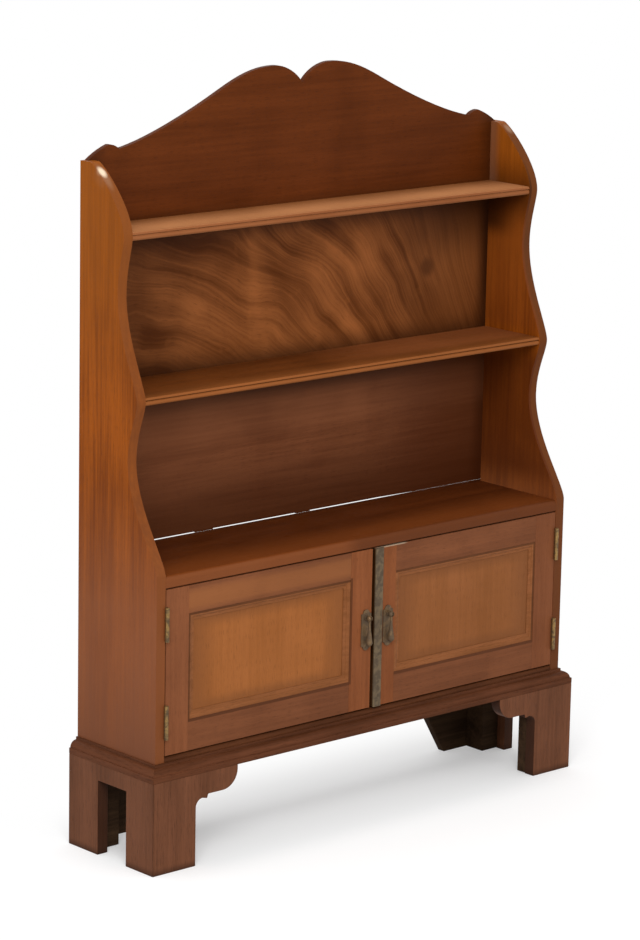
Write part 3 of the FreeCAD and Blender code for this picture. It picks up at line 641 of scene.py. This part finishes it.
class Workshop:
    """Dresses CAD nodes and keeps the trees that more than one sub-assembly uses."""

    WELD_DISTANCE = 2e-6
    FLAT_DEGREES = 0.4
    EASED_DEGREES = 40.0
    SMOOTH_DEGREES = 27.0

    def __init__(self) -> None:
        """Make the shared trees."""
        self.smooth = SmoothTree()
        self.trees = {kind: FixingTree(kind) for kind in Fixing}

    def dress(self, names: list[str], material: Material, easing: float = 0.0,
              clamp: bool = True, weld: bool = True) -> None:
        """Give CAD nodes a finish and, where asked, eased edges.

        Args:
            names: Names of the nodes.
            material: Their finish.
            easing: Width of the rounded edges, or 0 for none.
            clamp: Whether the rounding narrows where edges lie close together.
            weld: Whether the node's triangles can be joined.
        """
        for name in names:
            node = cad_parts[name]
            node.data.materials.clear()
            node.data.materials.append(material)
            if weld:
                node.modifiers.new("weld", "WELD").merge_threshold = self.WELD_DISTANCE
            if easing > 0.0:
                flat = node.modifiers.new("flat", "DECIMATE")
                flat.decimate_type = "DISSOLVE"
                flat.angle_limit = math.radians(self.FLAT_DEGREES)
                bevel = node.modifiers.new("eased", "BEVEL")
                bevel.width = easing
                bevel.segments = 2
                bevel.limit_method = "ANGLE"
                bevel.angle_limit = math.radians(self.EASED_DEGREES)
                bevel.use_clamp_overlap = clamp
            if weld:
                self.smooth.apply(node, {"Angle": math.radians(self.SMOOTH_DEGREES)})
                node.modifiers.new("even", "WEIGHTED_NORMAL").keep_sharp = True
            LOG.info("%s: %s", name, material.name)


@dataclass
class Carcase:
    """Sides, shelves, cupboard boards and back."""

    back: float = 0.093
    inner_half: float = 0.3745
    nail_line: float = 0.379
    nail_heights: tuple[float, ...] = (0.17, 0.25, 0.33, 0.4, 0.45, 0.54, 0.63, 0.68, 0.76, 0.84, 0.89, 0.945)
    # Near-black of the painted shade in the corners and under the shelves, also the colour of the knot.
    shade_and_knot: Triple = (0.03, 0.008, 0.002)
    # Place along Y where the painted shade and light on the backs stop, so their rear faces stay plain.
    shading_end: float = 0.0885

    def dress(self, workshop: Workshop) -> None:
        """Finish the boards.

        Args:
            workshop: Dresses the nodes.
        """
        self._dress_sides(workshop)
        self._dress_shelves(workshop)
        self._dress_back(workshop)

    def _dress_sides(self, workshop: Workshop) -> None:
        """Finish the sides: orange above, redder and paler below with painted reflection of the floor, with
        painted highlights on the shoulders and painted shade inside the right one.
        """
        wood = ((0.14, 0.029, 0.002), (0.315, 0.076, 0.006))
        faded = Shift(2, 0.6, 0.9, (0.29, 0.081, 0.007), 0.6)
        # Redder, paler wood lower down, which holds painted reflection of the white floor.
        red_and_floor_reflection = Shift(2, 0.56, 0.30, (0.225, 0.08, 0.036), 0.75)
        # Darker towards the bottom.
        darker_below = Shift(2, 0.32, 0.13, (0.14, 0.05, 0.024), 0.6)
        # Colour of the painted highlights on the shoulders, and the spreads of the narrow highlight and of
        # the wider, fainter one round it.
        shoulder_highlight = (0.9, 0.72, 0.52)
        shoulder = (0.008, 0.0135, 0.0135)
        highlight_halo = (0.0088, 0.03, 0.03)
        inner = (0, 0.37, 0.379, 0.001)
        left = Timber(
            "mahogany_left_side", *wood, Grain.UPRIGHT, band_scale=22.0, band_share=1.1, streak_share=1.0,
            changes=(faded, red_and_floor_reflection, darker_below, Facing(1, -1.0, (0.165, 0.05, 0.014), 0.7),
                     # Painted highlight on the left shoulder: a wide faint patch and a bright narrow one.
                     Spot((-0.3838, 0.047, 0.945), highlight_halo, (0.34, 0.19, 0.11), 0.4),
                     Spot((-0.3838, 0.052, 0.952), shoulder, shoulder_highlight, 0.85)))
        right = Timber(
            "mahogany_right_side", *wood, Grain.UPRIGHT, band_scale=22.0, offset=(0.4, 0.7, 0.1),
            band_share=1.1, streak_share=1.0,
            changes=(faded, red_and_floor_reflection, darker_below, Facing(1, -1.0, (0.1, 0.03, 0.008), 0.88),
                     # Fainter painted highlight on the right shoulder.
                     Spot((0.3838, 0.055, 0.955), shoulder, shoulder_highlight, 0.15),
                     # Painted shade on the inner face: in the middle bay, round the top shelf, under it
                     # towards the back, in the back corner above it and in the lower bay.
                     Area((inner, (2, 0.65, 0.87, 0.02)), (0.17, 0.038, 0.008), 0.4),
                     Area((inner, (2, 0.80, 0.926, 0.063)), self.shade_and_knot, 0.7),
                     Area((inner, (1, 0.01, 0.2, 0.07), (2, 0.785, 0.88, 0.03)), self.shade_and_knot, 0.72),
                     Area((inner, (1, 0.06, 0.2, 0.02), (2, 0.868, 1.2, 0.01)), (0.16, 0.075, 0.045), 0.6),
                     Area((inner, (2, 0.41, 0.655, 0.05)), (0.085, 0.018, 0.004), 0.75)))
        workshop.dress(["left_side"], left.build(), 0.00028, clamp=False)
        workshop.dress(["right_side"], right.build(), 0.00028, clamp=False)

    def _dress_shelves(self, workshop: Workshop) -> None:
        """Finish the shelves and the cupboard's floor and top, with painted light on the tops towards the
        front.
        """
        painted_sheen = (0.58, 0.245, 0.098)
        top = Timber(
            "mahogany_top_shelf", (0.11, 0.03, 0.005), (0.21, 0.066, 0.014), Grain.ACROSS, band_scale=30.0,
            offset=(0.3, 0.2, 0.1),
            # Painted light: the top grows lighter towards the front, then darker again at the very front
            # edge.
            changes=(Shift(1, 0.105, 0.02, painted_sheen, 0.88), Shift(1, 0.012, -0.002, (0.3, 0.105, 0.036), 0.5),
                     Facing(1, -1.0, (0.19, 0.058, 0.018), 0.8)))
        middle = Timber(
            "mahogany_middle_shelf", (0.08, 0.021, 0.004), (0.165, 0.046, 0.009), Grain.ACROSS,
            band_scale=30.0, offset=(0.6, 0.1, 0.7),
            # Painted sheen on the right of the top and painted light towards the front.
            changes=(Area(((0, -0.04, 0.7, 0.2), (1, -0.02, 0.2, 0.03)), (0.297, 0.092, 0.028), 0.6),
                     Shift(1, 0.01, -0.034, (0.27, 0.086, 0.021), 0.6),
                     Facing(1, -1.0, (0.27, 0.088, 0.024), 0.5)))
        cupboard = Timber(
            "mahogany_cupboard_top", (0.06, 0.0125, 0.0024), (0.118, 0.028, 0.0058), Grain.ACROSS,
            band_scale=26.0, offset=(0.7, 0.4, 0.2),
            # Painted light on the top towards the front.
            changes=(Shift(1, 0.02, -0.066, (0.175, 0.043, 0.0085), 0.8),
                     Facing(1, -1.0, (0.18, 0.058, 0.02), 0.6),
                     Area(((0, -0.06, 0.7, 0.05), (1, -0.2, -0.07, 0.004)), (0.05, 0.013, 0.004), 0.5)))
        floor = Timber("mahogany_cupboard_floor", (0.04, 0.012, 0.004), (0.1, 0.032, 0.011), Grain.ACROSS,
                       offset=(0.2, 0.5, 0.4))
        for name, wood in (("top_shelf", top), ("middle_shelf", middle), ("cupboard_top", cupboard),
                           ("cupboard_floor", floor)):
            workshop.dress([name], wood.build(), 0.0005)

    def _dress_back(self, workshop: Workshop) -> None:
        """Finish the back boards, each with its own figure, with painted shade in the corners and under the
        shelves, and painted light below the middle shelf.
        """
        across = (0, -self.inner_half, self.inner_half, 0.03)
        crest = Timber(
            "mahogany_crest", (0.066, 0.014, 0.0015), (0.118, 0.027, 0.0045), Grain.ACROSS, band_scale=30.0,
            band_share=0.6, streak_share=0.5, offset=(1.1, 0.0, 0.6),
            # Painted shade in the corners along the sides and the top shelf.
            changes=(Area((across, (2, 0.868, 1.3, 0.02)), self.shade_and_knot, 0.5, True, self.shading_end),))
        flame = Timber(
            "mahogany_flame", (0.075, 0.018, 0.002), (0.32, 0.104, 0.028), Grain.ACROSS,
            flame=Flame(), band_scale=26.0, band_twist=0.25, band_share=1.3, streak_share=0.4,
            cloud_share=0.9,
            # Painted shade along the edges, under the top shelf and above the middle shelf, towards both
            # sides, and in the upper right and lower left corners.
            changes=(Area((across, (2, 0.64, 0.8625, 0.045)), self.shade_and_knot, 0.95, True, self.shading_end),
                     Area(((0, -0.7, -0.1, 0.2),), self.shade_and_knot, 0.42),
                     Area(((0, 0.12, 0.7, 0.12),), self.shade_and_knot, 0.32),
                     Area(((0, 0.17, 0.7, 0.12), (2, 0.735, 0.97, 0.1)), self.shade_and_knot, 0.6, end=self.shading_end),
                     Area(((0, -0.7, -0.15, 0.12), (2, 0.5, 0.7, 0.05)), self.shade_and_knot, 0.5, end=self.shading_end),
                     # A dark knot, in the same near-black as the painted shade.
                     Spot((0.251, 0.084, 0.755), (0.02, 0.02, 0.02), self.shade_and_knot, 0.5)))
        plain = Timber(
            "mahogany_lower_back", (0.09, 0.024, 0.007), (0.185, 0.06, 0.022), Grain.ACROSS, band_scale=14.0,
            band_share=0.7, cloud_share=1.0, offset=(0.2, 0.9, 0.4),
            # Painted shade along the edges, where the middle shelf's shadow falls above and by the cupboard
            # top below.
            changes=(Area((across, (2, 0.40, 0.61, 0.025)), self.shade_and_knot, 0.82, True, self.shading_end),
                     Area(((0, -0.7, -0.05, 0.15),), (0.2, 0.069, 0.028), 0.25),
                     # Painted light below the middle shelf's shadow, painted shade towards the bottom and
                     # painted shade towards the right.
                     Area(((2, 0.53, 0.62, 0.03),), (0.26, 0.09, 0.036), 0.35, end=self.shading_end),
                     Area(((2, -1.0, 0.555, 0.125),), (0.03, 0.006, 0.001), 0.68, end=self.shading_end),
                     Area(((0, 0.1, 0.7, 0.2),), (0.06, 0.014, 0.004), 0.55)))
        workshop.dress(["back_crest_board"], crest.build(), 0.0008)
        workshop.dress(["back_upper_board"], flame.build(), 0.0006)
        workshop.dress(["back_lower_board", "cupboard_back_board"], plain.build(), 0.0003)

    def fix(self, workshop: Workshop, iron: Material) -> None:
        """Nail the back boards into the rebates of the sides.

        Args:
            workshop: Holds the trees.
            iron: Finish of the nails.
        """
        points = [((side * self.nail_line, self.back, height), (0.0, 1.0, 0.0))
                  for side in (-1.0, 1.0) for height in self.nail_heights]
        FixingSet("back_nails", "carcase", Fixing.ROUND_PIN, points, 0.0021, 0.0003,
                  seed=4, slot="mahogany_back").build(workshop, iron)


@dataclass
class Base:
    """Moulded rails, bracket feet and the plain wood behind them."""

    easing: float = 0.0008
    dark: Triple = (0.087, 0.032, 0.0145)
    light: Triple = (0.16, 0.06, 0.029)
    # Dark brown for the brackets' sideways edge faces and the bottoms of the feet.
    bracket_dark: Triple = (0.028, 0.011, 0.006)

    def dress(self, workshop: Workshop) -> None:
        """Finish the base.

        Args:
            workshop: Dresses the nodes.
        """
        # Darker over the lowest 12 mm of the feet.
        darker_foot_bottom = Shift(2, 0.012, 0.0, self.bracket_dark, 0.6)
        fronts = Timber("mahogany_front_brackets", self.dark, self.light, Grain.UPRIGHT, band_scale=18.0,
                        offset=(0.5, 0.1, 0.9), changes=(Facing(0, 0.0, self.bracket_dark, 0.8), darker_foot_bottom))
        sides = Timber("mahogany_side_brackets", self.dark, self.light, Grain.UPRIGHT, band_scale=18.0,
                       offset=(0.8, 0.7, 0.3), changes=(Facing(1, 0.0, self.bracket_dark, 0.7), darker_foot_bottom))
        moulded = ((0.05, 0.015, 0.005), (0.12, 0.04, 0.017))
        rails = Timber("mahogany_rails", *moulded, Grain.ACROSS, band_scale=30.0, offset=(0.1, 0.6, 0.3))
        side_rails = Timber("mahogany_side_rails", *moulded, Grain.DEEP, band_scale=30.0,
                            offset=(0.2, 0.3, 0.8))
        pine = Timber("pine_inside", (0.02, 0.01, 0.005), (0.06, 0.032, 0.016), Grain.ACROSS,
                      band_scale=40.0, roughness=0.75)
        workshop.dress(["front_left_bracket", "front_right_bracket"], fronts.build(), self.easing)
        workshop.dress(["left_side_bracket", "right_side_bracket"], sides.build(), self.easing)
        workshop.dress(["base_front_rail"], rails.build(), 0.0004)
        workshop.dress(["base_left_rail", "base_right_rail"], side_rails.build(), 0.0004)
        workshop.dress(["base_rear_rail", "rear_left_bracket", "rear_right_bracket",
                        "front_foot_blocks", "rear_foot_blocks", "door_stops"], pine.build(), self.easing)


@dataclass
class Doors:
    """Frames, panels and mouldings of both doors."""

    sides: tuple[str, ...] = ("left", "right")
    moulding_width: float = 0.011
    groove: float = 0.0055
    quirk: float = 0.003
    opening_bottom: float = 0.208
    # Place along Y where the painted shadow lines stop, so the doors' backs stay plain.
    shading_end: float = -0.07
    # Width and fade of the painted shadow lines along the inner edges of the frames.
    shadow_line_width: float = 0.005
    shadow_line_fade: float = 0.0015
    # Dark brown of the painted shadow lines and of the painted shade in the mouldings' quirks.
    shade_and_knot: Triple = (0.05, 0.016, 0.006)
    panels: dict[str, tuple[Triple, Triple]] = field(default_factory=lambda: {
        "left": ((0.22, 0.071, 0.0162), (0.336, 0.115, 0.0325)),
        "right": ((0.19, 0.0645, 0.0178), (0.29, 0.1045, 0.0355))})

    def dress(self, workshop: Workshop) -> None:
        """Finish the doors.

        Args:
            workshop: Dresses the nodes.
        """
        figure = {"band_scale": 26.0, "band_share": 0.7, "streak_share": 0.5}
        stiles = Timber("mahogany_stiles", (0.135, 0.043, 0.0165), (0.22, 0.075, 0.03), Grain.UPRIGHT,
                        offset=(0.4, 0.4, 0.2), **figure)
        # Painted highlight along the top edge of the right door beside the strip.
        top_edge_highlight = Area(((0, 0.008, 0.075, 0.012), (2, 0.3953, 0.4, 0.0008)), (0.42, 0.33, 0.23), 0.7)
        # Painted shadow line along the inner edge of the left door's meeting stile.
        stile_shadow_line = Area(((0, -0.0365, -0.031, self.shadow_line_fade), (2, 0.203, 0.361, 0.002)), self.shade_and_knot, 0.65,
                          end=self.shading_end)
        # Meeting stiles: their side edges are painted near-black, painted shade in the gap between the doors.
        meeting = Timber("mahogany_meeting_stiles", (0.15, 0.045, 0.015), (0.25, 0.08, 0.028), Grain.UPRIGHT,
                         offset=(0.1, 0.6, 0.8), **figure,
                         changes=(Facing(0, 0.0, (0.032, 0.012, 0.003), 1.0), top_edge_highlight, stile_shadow_line))
        # The left door's top rail grows lighter towards its top.
        lighter_top_rail = Area(((0, -0.45, 0.002, 0.001), (2, 0.356, 0.3965, 0.014)), (0.27, 0.096, 0.032), 0.6)
        # Painted shadow line along the top of the bottom rails.
        level = (2, self.opening_bottom - self.shadow_line_width, self.opening_bottom + 0.001, self.shadow_line_fade)
        rail_shadow_line = Area((level,), self.shade_and_knot, 0.65, end=self.shading_end)
        rails = Timber("mahogany_door_rails", (0.115, 0.038, 0.0155), (0.205, 0.071, 0.029), Grain.ACROSS,
                       offset=(0.9, 0.1, 0.5), **figure, changes=(top_edge_highlight, lighter_top_rail, rail_shadow_line))
        edge, meet, rail = (wood.build() for wood in (stiles, meeting, rails))
        for side in self.sides:
            workshop.dress([side + "_door_hinge_stile"], edge, 0.00028, clamp=False)
            workshop.dress([side + "_door_meeting_stile"], meet, 0.0006, clamp=False)
            workshop.dress([side + "_door_top_rail", side + "_door_bottom_rail"], rail, 0.0004)
            workshop.dress([side + "_door_panel"], self._panel(side).build())
            workshop.dress([side + "_door_mouldings"], self._mouldings(side).build(), weld=False)

    def _panel(self, side: str) -> Timber:
        """Finish of one panel, darker along the mouldings with grime and painted shade.

        Args:
            side: Which door.

        Returns:
            The finish.
        """
        low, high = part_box(side + "_door_panel")
        hidden = self.groove + self.moulding_width
        dark, light = self.panels[side]
        return Timber(
            side + "_mahogany_panel", dark, light, Grain.UPRIGHT,
            band_scale=20.0, streak_share=0.35, band_share=0.6, offset=(low.x, 0.3, 0.1),
            # Darker along the mouldings: grime and painted shade.
            changes=(Area(((0, low.x + hidden, high.x - hidden, 0.05),
                           (2, low.z + hidden, high.z - hidden, 0.02)), (0.14, 0.05, 0.018), 0.5,
                          outside=True),))

    def _mouldings(self, side: str) -> Timber:
        """Finish of one door's mouldings, with painted shade in the quirk along the top and on the hinge
        side.

        Args:
            side: Which door.

        Returns:
            The finish.
        """
        low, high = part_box(side + "_door_mouldings")
        # Painted shade in the quirk along the top and on the hinge side.
        at_left, at_right = (self.quirk, -1.0) if side == "left" else (-1.0, self.quirk)
        unshaded = ((0, low.x + at_left, high.x - at_right, 0.001), (2, low.z - 1.0, high.z - self.quirk, 0.001))
        return Timber(
            side + "_mahogany_mouldings", (0.163, 0.056, 0.0168), (0.256, 0.092, 0.0335), Grain.ACROSS,
            band_scale=40.0, changes=(Area(unshaded, self.shade_and_knot, 0.65, outside=True),))


@dataclass
class Brassware:
    """Hinges, pulls, strip, bolt and catch, with their screws and pins."""

    pin_x: float = 0.37375
    leaf_gap: float = 0.00015
    screw_row: float = -0.0715
    screw_stagger: float = 0.00125
    screw_pitch: float = 0.016
    hinge_heights: tuple[float, ...] = (0.211, 0.349)
    strip_face: float = -0.0805
    strip_middle: float = 0.01775
    strip_pins: tuple[float, ...] = (0.172, 0.226, 0.28, 0.334, 0.388)
    pulls: dict[str, float] = field(default_factory=lambda: {"left": -0.00575, "right": 0.03625})
    pull_middle: float = 0.28
    plate_face: float = -0.0798
    plate_pin_rise: float = 0.0255
    door_back: float = -0.061
    fitting_thickness: float = 0.0015
    clip_thickness: float = 0.0008
    bolt_screw_half: float = 0.0072
    bolt_screw_rises: tuple[float, ...] = (0.018, 0.033)
    tongue_screw_drops: tuple[float, ...] = (0.0035, 0.009)
    keeper_screw_half: float = 0.0083
    clip_screw_inset: float = 0.005

    def dress(self, workshop: Workshop) -> Material:
        """Finish the brass.

        Args:
            workshop: Dresses the nodes.

        Returns:
            The finish of the hinges, which the screws share.
        """
        hinge = Brass("brass_fittings", (0.33, 0.2, 0.07), (0.1, 0.06, 0.025), 0.36, 0.62).build()
        pull = Brass("brass_pulls", (0.165, 0.097, 0.043), (0.083, 0.049, 0.023), 0.35, 0.6, metallic=0.6,
                     roughness=0.5).build()
        strip = Brass("brass_strip", (0.14, 0.093, 0.045), (0.062, 0.038, 0.017), 0.34, 0.6, metallic=0.4,
                      roughness=0.5).build()
        fittings = ["hinge_case_leaves", "left_door_hinge_leaves", "right_door_hinge_leaves", "hinge_pins",
                    "left_pull_nut", "right_pull_nut"]
        workshop.dress(fittings, hinge)
        inner = ["bolt_plate", "door_bolt", "bolt_keeper", "catch_clip", "catch_tongue"]
        workshop.dress(inner, hinge, 0.0002)
        for side in self.pulls:
            workshop.dress([side + "_pull_plate"], pull, 0.0003, clamp=False)
            workshop.dress([side + "_pull_stud", side + "_pull_pin", side + "_pull_drop"], pull)
        workshop.dress(["brass_strip"], strip)
        self._pin_plates(workshop, pull, strip)
        return hinge

    def _pin_plates(self, workshop: Workshop, pull: Material,
                    strip: Material) -> None:
        """Pin the strip and the plates of the pulls to the doors.

        Args:
            workshop: Holds the trees.
            pull: Finish of the pulls.
            strip: Finish of the strip.
        """
        out = (0.0, -1.0, 0.0)
        for side, x in self.pulls.items():
            points = [((x, self.plate_face, self.pull_middle + rise), out)
                      for rise in (-self.plate_pin_rise, self.plate_pin_rise)]
            FixingSet(side + "_plate_pins", side + "_door", Fixing.ROUND_PIN, points, 0.0013, 0.0006,
                      slot="brass_pulls").build(workshop, pull)
        points = [((self.strip_middle, self.strip_face, height), out) for height in self.strip_pins]
        FixingSet("strip_pins", "right_door", Fixing.ROUND_PIN, points, 0.0015, 0.0003,
                  slot="brass_strip").build(workshop, strip)

    def hinge_screws(self, workshop: Workshop, brass: Material) -> None:
        """Set slotted screws in the hinge leaves.

        Args:
            workshop: Holds the trees.
            brass: Finish of the screws.
        """
        case = [self._leaf_row(side, height, False) for side in (-1, 1) for height in self.hinge_heights]
        rows = {"carcase": ("hinge_case_screws", case)}
        for name, side in (("left", -1), ("right", 1)):
            leaves = [self._leaf_row(side, height, True) for height in self.hinge_heights]
            rows[name + "_door"] = (name + "_door_hinge_screws", leaves)
        for body, (node, leaves) in rows.items():
            points = [point for leaf in leaves for point in leaf]
            FixingSet(node + "_slotted", body, Fixing.SLOTTED_SCREW, points, 0.0027, 0.0012, 0.012,
                      seed=7, stands_for=node).build(workshop, brass)

    def _leaf_row(self, side: int, height: float, on_door: bool) -> list[tuple[Triple, Triple]]:
        """Places and axes of the three screws of one leaf.

        Args:
            side: -1 for the left door, 1 for the right.
            height: Middle of the hinge.
            on_door: Whether the leaf is the door's.

        Returns:
            A place and an outward axis for each screw.
        """
        inward = -side if on_door else side
        x = side * self.pin_x + inward * self.leaf_gap
        row = []
        for index in (-1, 0, 1):
            y = self.screw_row + (self.screw_stagger if index == 0 else -self.screw_stagger)
            row.append(((x, y, height + index * self.screw_pitch), (-float(inward), 0.0, 0.0)))
        return row

    def inner_screws(self, workshop: Workshop, brass: Material) -> None:
        """Screw the bolt, its keeper and the catch to the wood.

        Args:
            workshop: Holds the trees.
            brass: Finish of the screws.
        """
        inside, down, up = (0.0, 1.0, 0.0), (0.0, 0.0, -1.0), (0.0, 0.0, 1.0)
        plate, keeper, tongue, clip = (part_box(name) for name in ("bolt_plate", "bolt_keeper",
                                                                 "catch_tongue", "catch_clip"))
        face = self.door_back + self.fitting_thickness
        bolt_x, catch_x = (plate[0].x + plate[1].x) / 2, (tongue[0].x + tongue[1].x) / 2
        bolt = [((bolt_x + x, face, plate[0].z + rise), inside)
                for x in (-self.bolt_screw_half, self.bolt_screw_half) for rise in self.bolt_screw_rises]
        latch = [((catch_x, face, tongue[1].z - drop), inside) for drop in self.tongue_screw_drops]
        case = [((bolt_x + x, (keeper[0].y + keeper[1].y) / 2, keeper[0].z), down)
                for x in (-self.keeper_screw_half, self.keeper_screw_half)]
        case.append(((catch_x, clip[1].y - self.clip_screw_inset, clip[0].z + self.clip_thickness), up))
        for name, body, points in (("bolt_plate_screws", "left_door", bolt),
                                   ("catch_tongue_screws", "right_door", latch),
                                   ("case_fitting_screws", "carcase", case)):
            FixingSet(name, body, Fixing.SLOTTED_SCREW, points, 0.0014, 0.0007, 0.0012,
                      seed=3).build(workshop, brass)


@dataclass
class Lamp:
    """A soft square lamp aimed at a point."""

    name: str
    place: Triple
    aim: Triple
    size: float
    watts: float

    def build(self) -> None:
        """Hang the lamp."""
        data = bpy.data.lights.new(self.name, "AREA")
        data.size = self.size
        data.energy = self.watts
        lamp = bpy.data.objects.new(self.name, data)
        lamp.location = self.place
        lamp.rotation_euler = (Vector(self.aim) - Vector(self.place)).to_track_quat("-Z", "Y").to_euler()
        show(lamp)


@dataclass
class Studio:
    """White floor, soft light and the camera."""

    floor_half: float = 40.0
    floor_tone: float = 0.72
    floor_lift: float = 0.33
    near_radius: float = 0.42
    far_radius: float = 0.9
    # Painted light: the floor turns white behind the case between these places along Y.
    behind: tuple[float, float] = (0.03, 0.25)
    # Painted shadow: the floor's lift is cut by this share under the case, between these edges.
    painted_shadow_share: float = 0.25
    painted_shadow_edges: tuple[tuple[int, float, float], ...] = (
        (1, -0.16, -0.09), (1, 0.07, 0.02), (0, -0.45, -0.28), (0, 0.45, 0.28))
    sky: float = 0.74
    camera_place: Triple = (-3.38626, -3.72593, 1.63985)
    camera_turn: Triple = (77.2153, -1.11, -41.7723)
    focal_pixels: float = 3621.13
    image_height: float = 940.0
    sensor: float = 36.0
    lamps: tuple[Lamp, ...] = (
        Lamp("key", (-2.5, -2.75, 2.9), (0.0, 0.0, 0.5), 2.2, 124.0),
        Lamp("front", (0.6, -3.6, 1.5), (0.0, 0.0, 0.5), 1.4, 12.0),
    )

    def build(self) -> None:
        """Set up the floor, the light and the camera."""
        self._floor()
        self._sky()
        for lamp in self.lamps:
            lamp.build()
        self._camera()
        bpy.context.scene.view_settings.view_transform = "Standard"

    @staticmethod
    def _seen(tree: NodeTree) -> Signal:
        """Mask of the rays that show the background: camera, mirror and glass rays."""
        rays = tree.node("ShaderNodeLightPath").outputs
        names = ("Is Camera Ray", "Is Glossy Ray", "Is Transmission Ray")
        first, second, third = (Signal(tree, rays[name]) for name in names)
        return (first + second + third).step(0.0, 1.0)

    def _floor(self) -> None:
        """Lay a white floor that keeps the shadow near the object and mostly under it, with painted light
        that whitens it behind the case and painted shadow that deepens it under the case.
        """
        half = self.floor_half
        mesh = bpy.data.meshes.new("floor")
        mesh.from_pydata([(-half, -half, 0.0), (half, -half, 0.0), (half, half, 0.0), (-half, half, 0.0)],
                         [], [(0, 1, 2, 3)])
        floor = bpy.data.objects.new("floor", mesh)
        show(floor)
        paper = ShaderTree("white_floor")
        matt = paper.node("ShaderNodeBsdfDiffuse", {"Color": opaque((self.floor_tone,) * 3)})
        places = paper.parts(paper.place)
        far = paper.length(paper.place).step(self.near_radius, self.far_radius)
        # Painted light whitens the floor behind the case as well as far from it.
        bright = 1.0 - (1.0 - far) * (1.0 - places[1].step(*self.behind))
        # Painted shadow deepens the floor's shadow under the case.
        under = self.painted_shadow_share
        for axis, start, end in self.painted_shadow_edges:
            under = under * places[axis].step(start, end)
        seen = self._seen(paper)
        lift = paper.node("ShaderNodeEmission", {"Strength": self.floor_lift})
        lifted = paper.node("ShaderNodeAddShader", {0: matt, 1: lift})
        near_floor = paper.node("ShaderNodeMixShader", {0: seen * (1.0 - under), 1: matt, 2: lifted})
        white = paper.node("ShaderNodeEmission", {"Strength": 1.0})
        blend = paper.node("ShaderNodeMixShader", {0: bright * seen, 1: near_floor, 2: white})
        paper.node("ShaderNodeOutputMaterial", {"Surface": blend})
        mesh.materials.append(paper.material)

    def _sky(self) -> None:
        """Light the scene evenly from all round, white where it is seen."""
        world = bpy.data.worlds.new("studio")
        world.use_nodes = True
        sky = NodeTree(world.node_tree)
        sky.tree.nodes.clear()
        light, white = (
            sky.node("ShaderNodeBackground", {"Color": (1.0, 1.0, 1.0, 1.0), "Strength": strength})
            for strength in (self.sky, 1.0))
        mix = sky.node("ShaderNodeMixShader", {0: self._seen(sky), 1: light, 2: white})
        sky.node("ShaderNodeOutputWorld", {"Surface": mix})
        bpy.context.scene.world = world

    def _camera(self) -> None:
        """Stand the camera where the photographer stood."""
        data = bpy.data.cameras.new("camera")
        data.sensor_width = self.sensor
        data.lens = self.focal_pixels / self.image_height * self.sensor
        data.clip_end = 100.0
        camera = bpy.data.objects.new("camera", data)
        camera.location = self.camera_place
        camera.rotation_euler = Euler([math.radians(angle) for angle in self.camera_turn])
        show(camera)
        bpy.context.scene.camera = camera


def main() -> None:
    """Dress the bookcase, set its fixings and build the studio."""
    logging.basicConfig(level=logging.INFO, format="%(message)s")
    workshop = Workshop()
    carcase = Carcase()
    carcase.dress(workshop)
    Base().dress(workshop)
    Doors().dress(workshop)
    brassware = Brassware()
    brass = brassware.dress(workshop)
    brassware.hinge_screws(workshop, brass)
    brassware.inner_screws(workshop, brass)
    iron = Brass("iron_nails", (0.08, 0.065, 0.05), (0.035, 0.02, 0.012), 0.4, 0.6, metallic=0.5,
                 roughness=0.6).build()
    carcase.fix(workshop, iron)
    Studio().build()


if __name__ == "__main__":
    main()
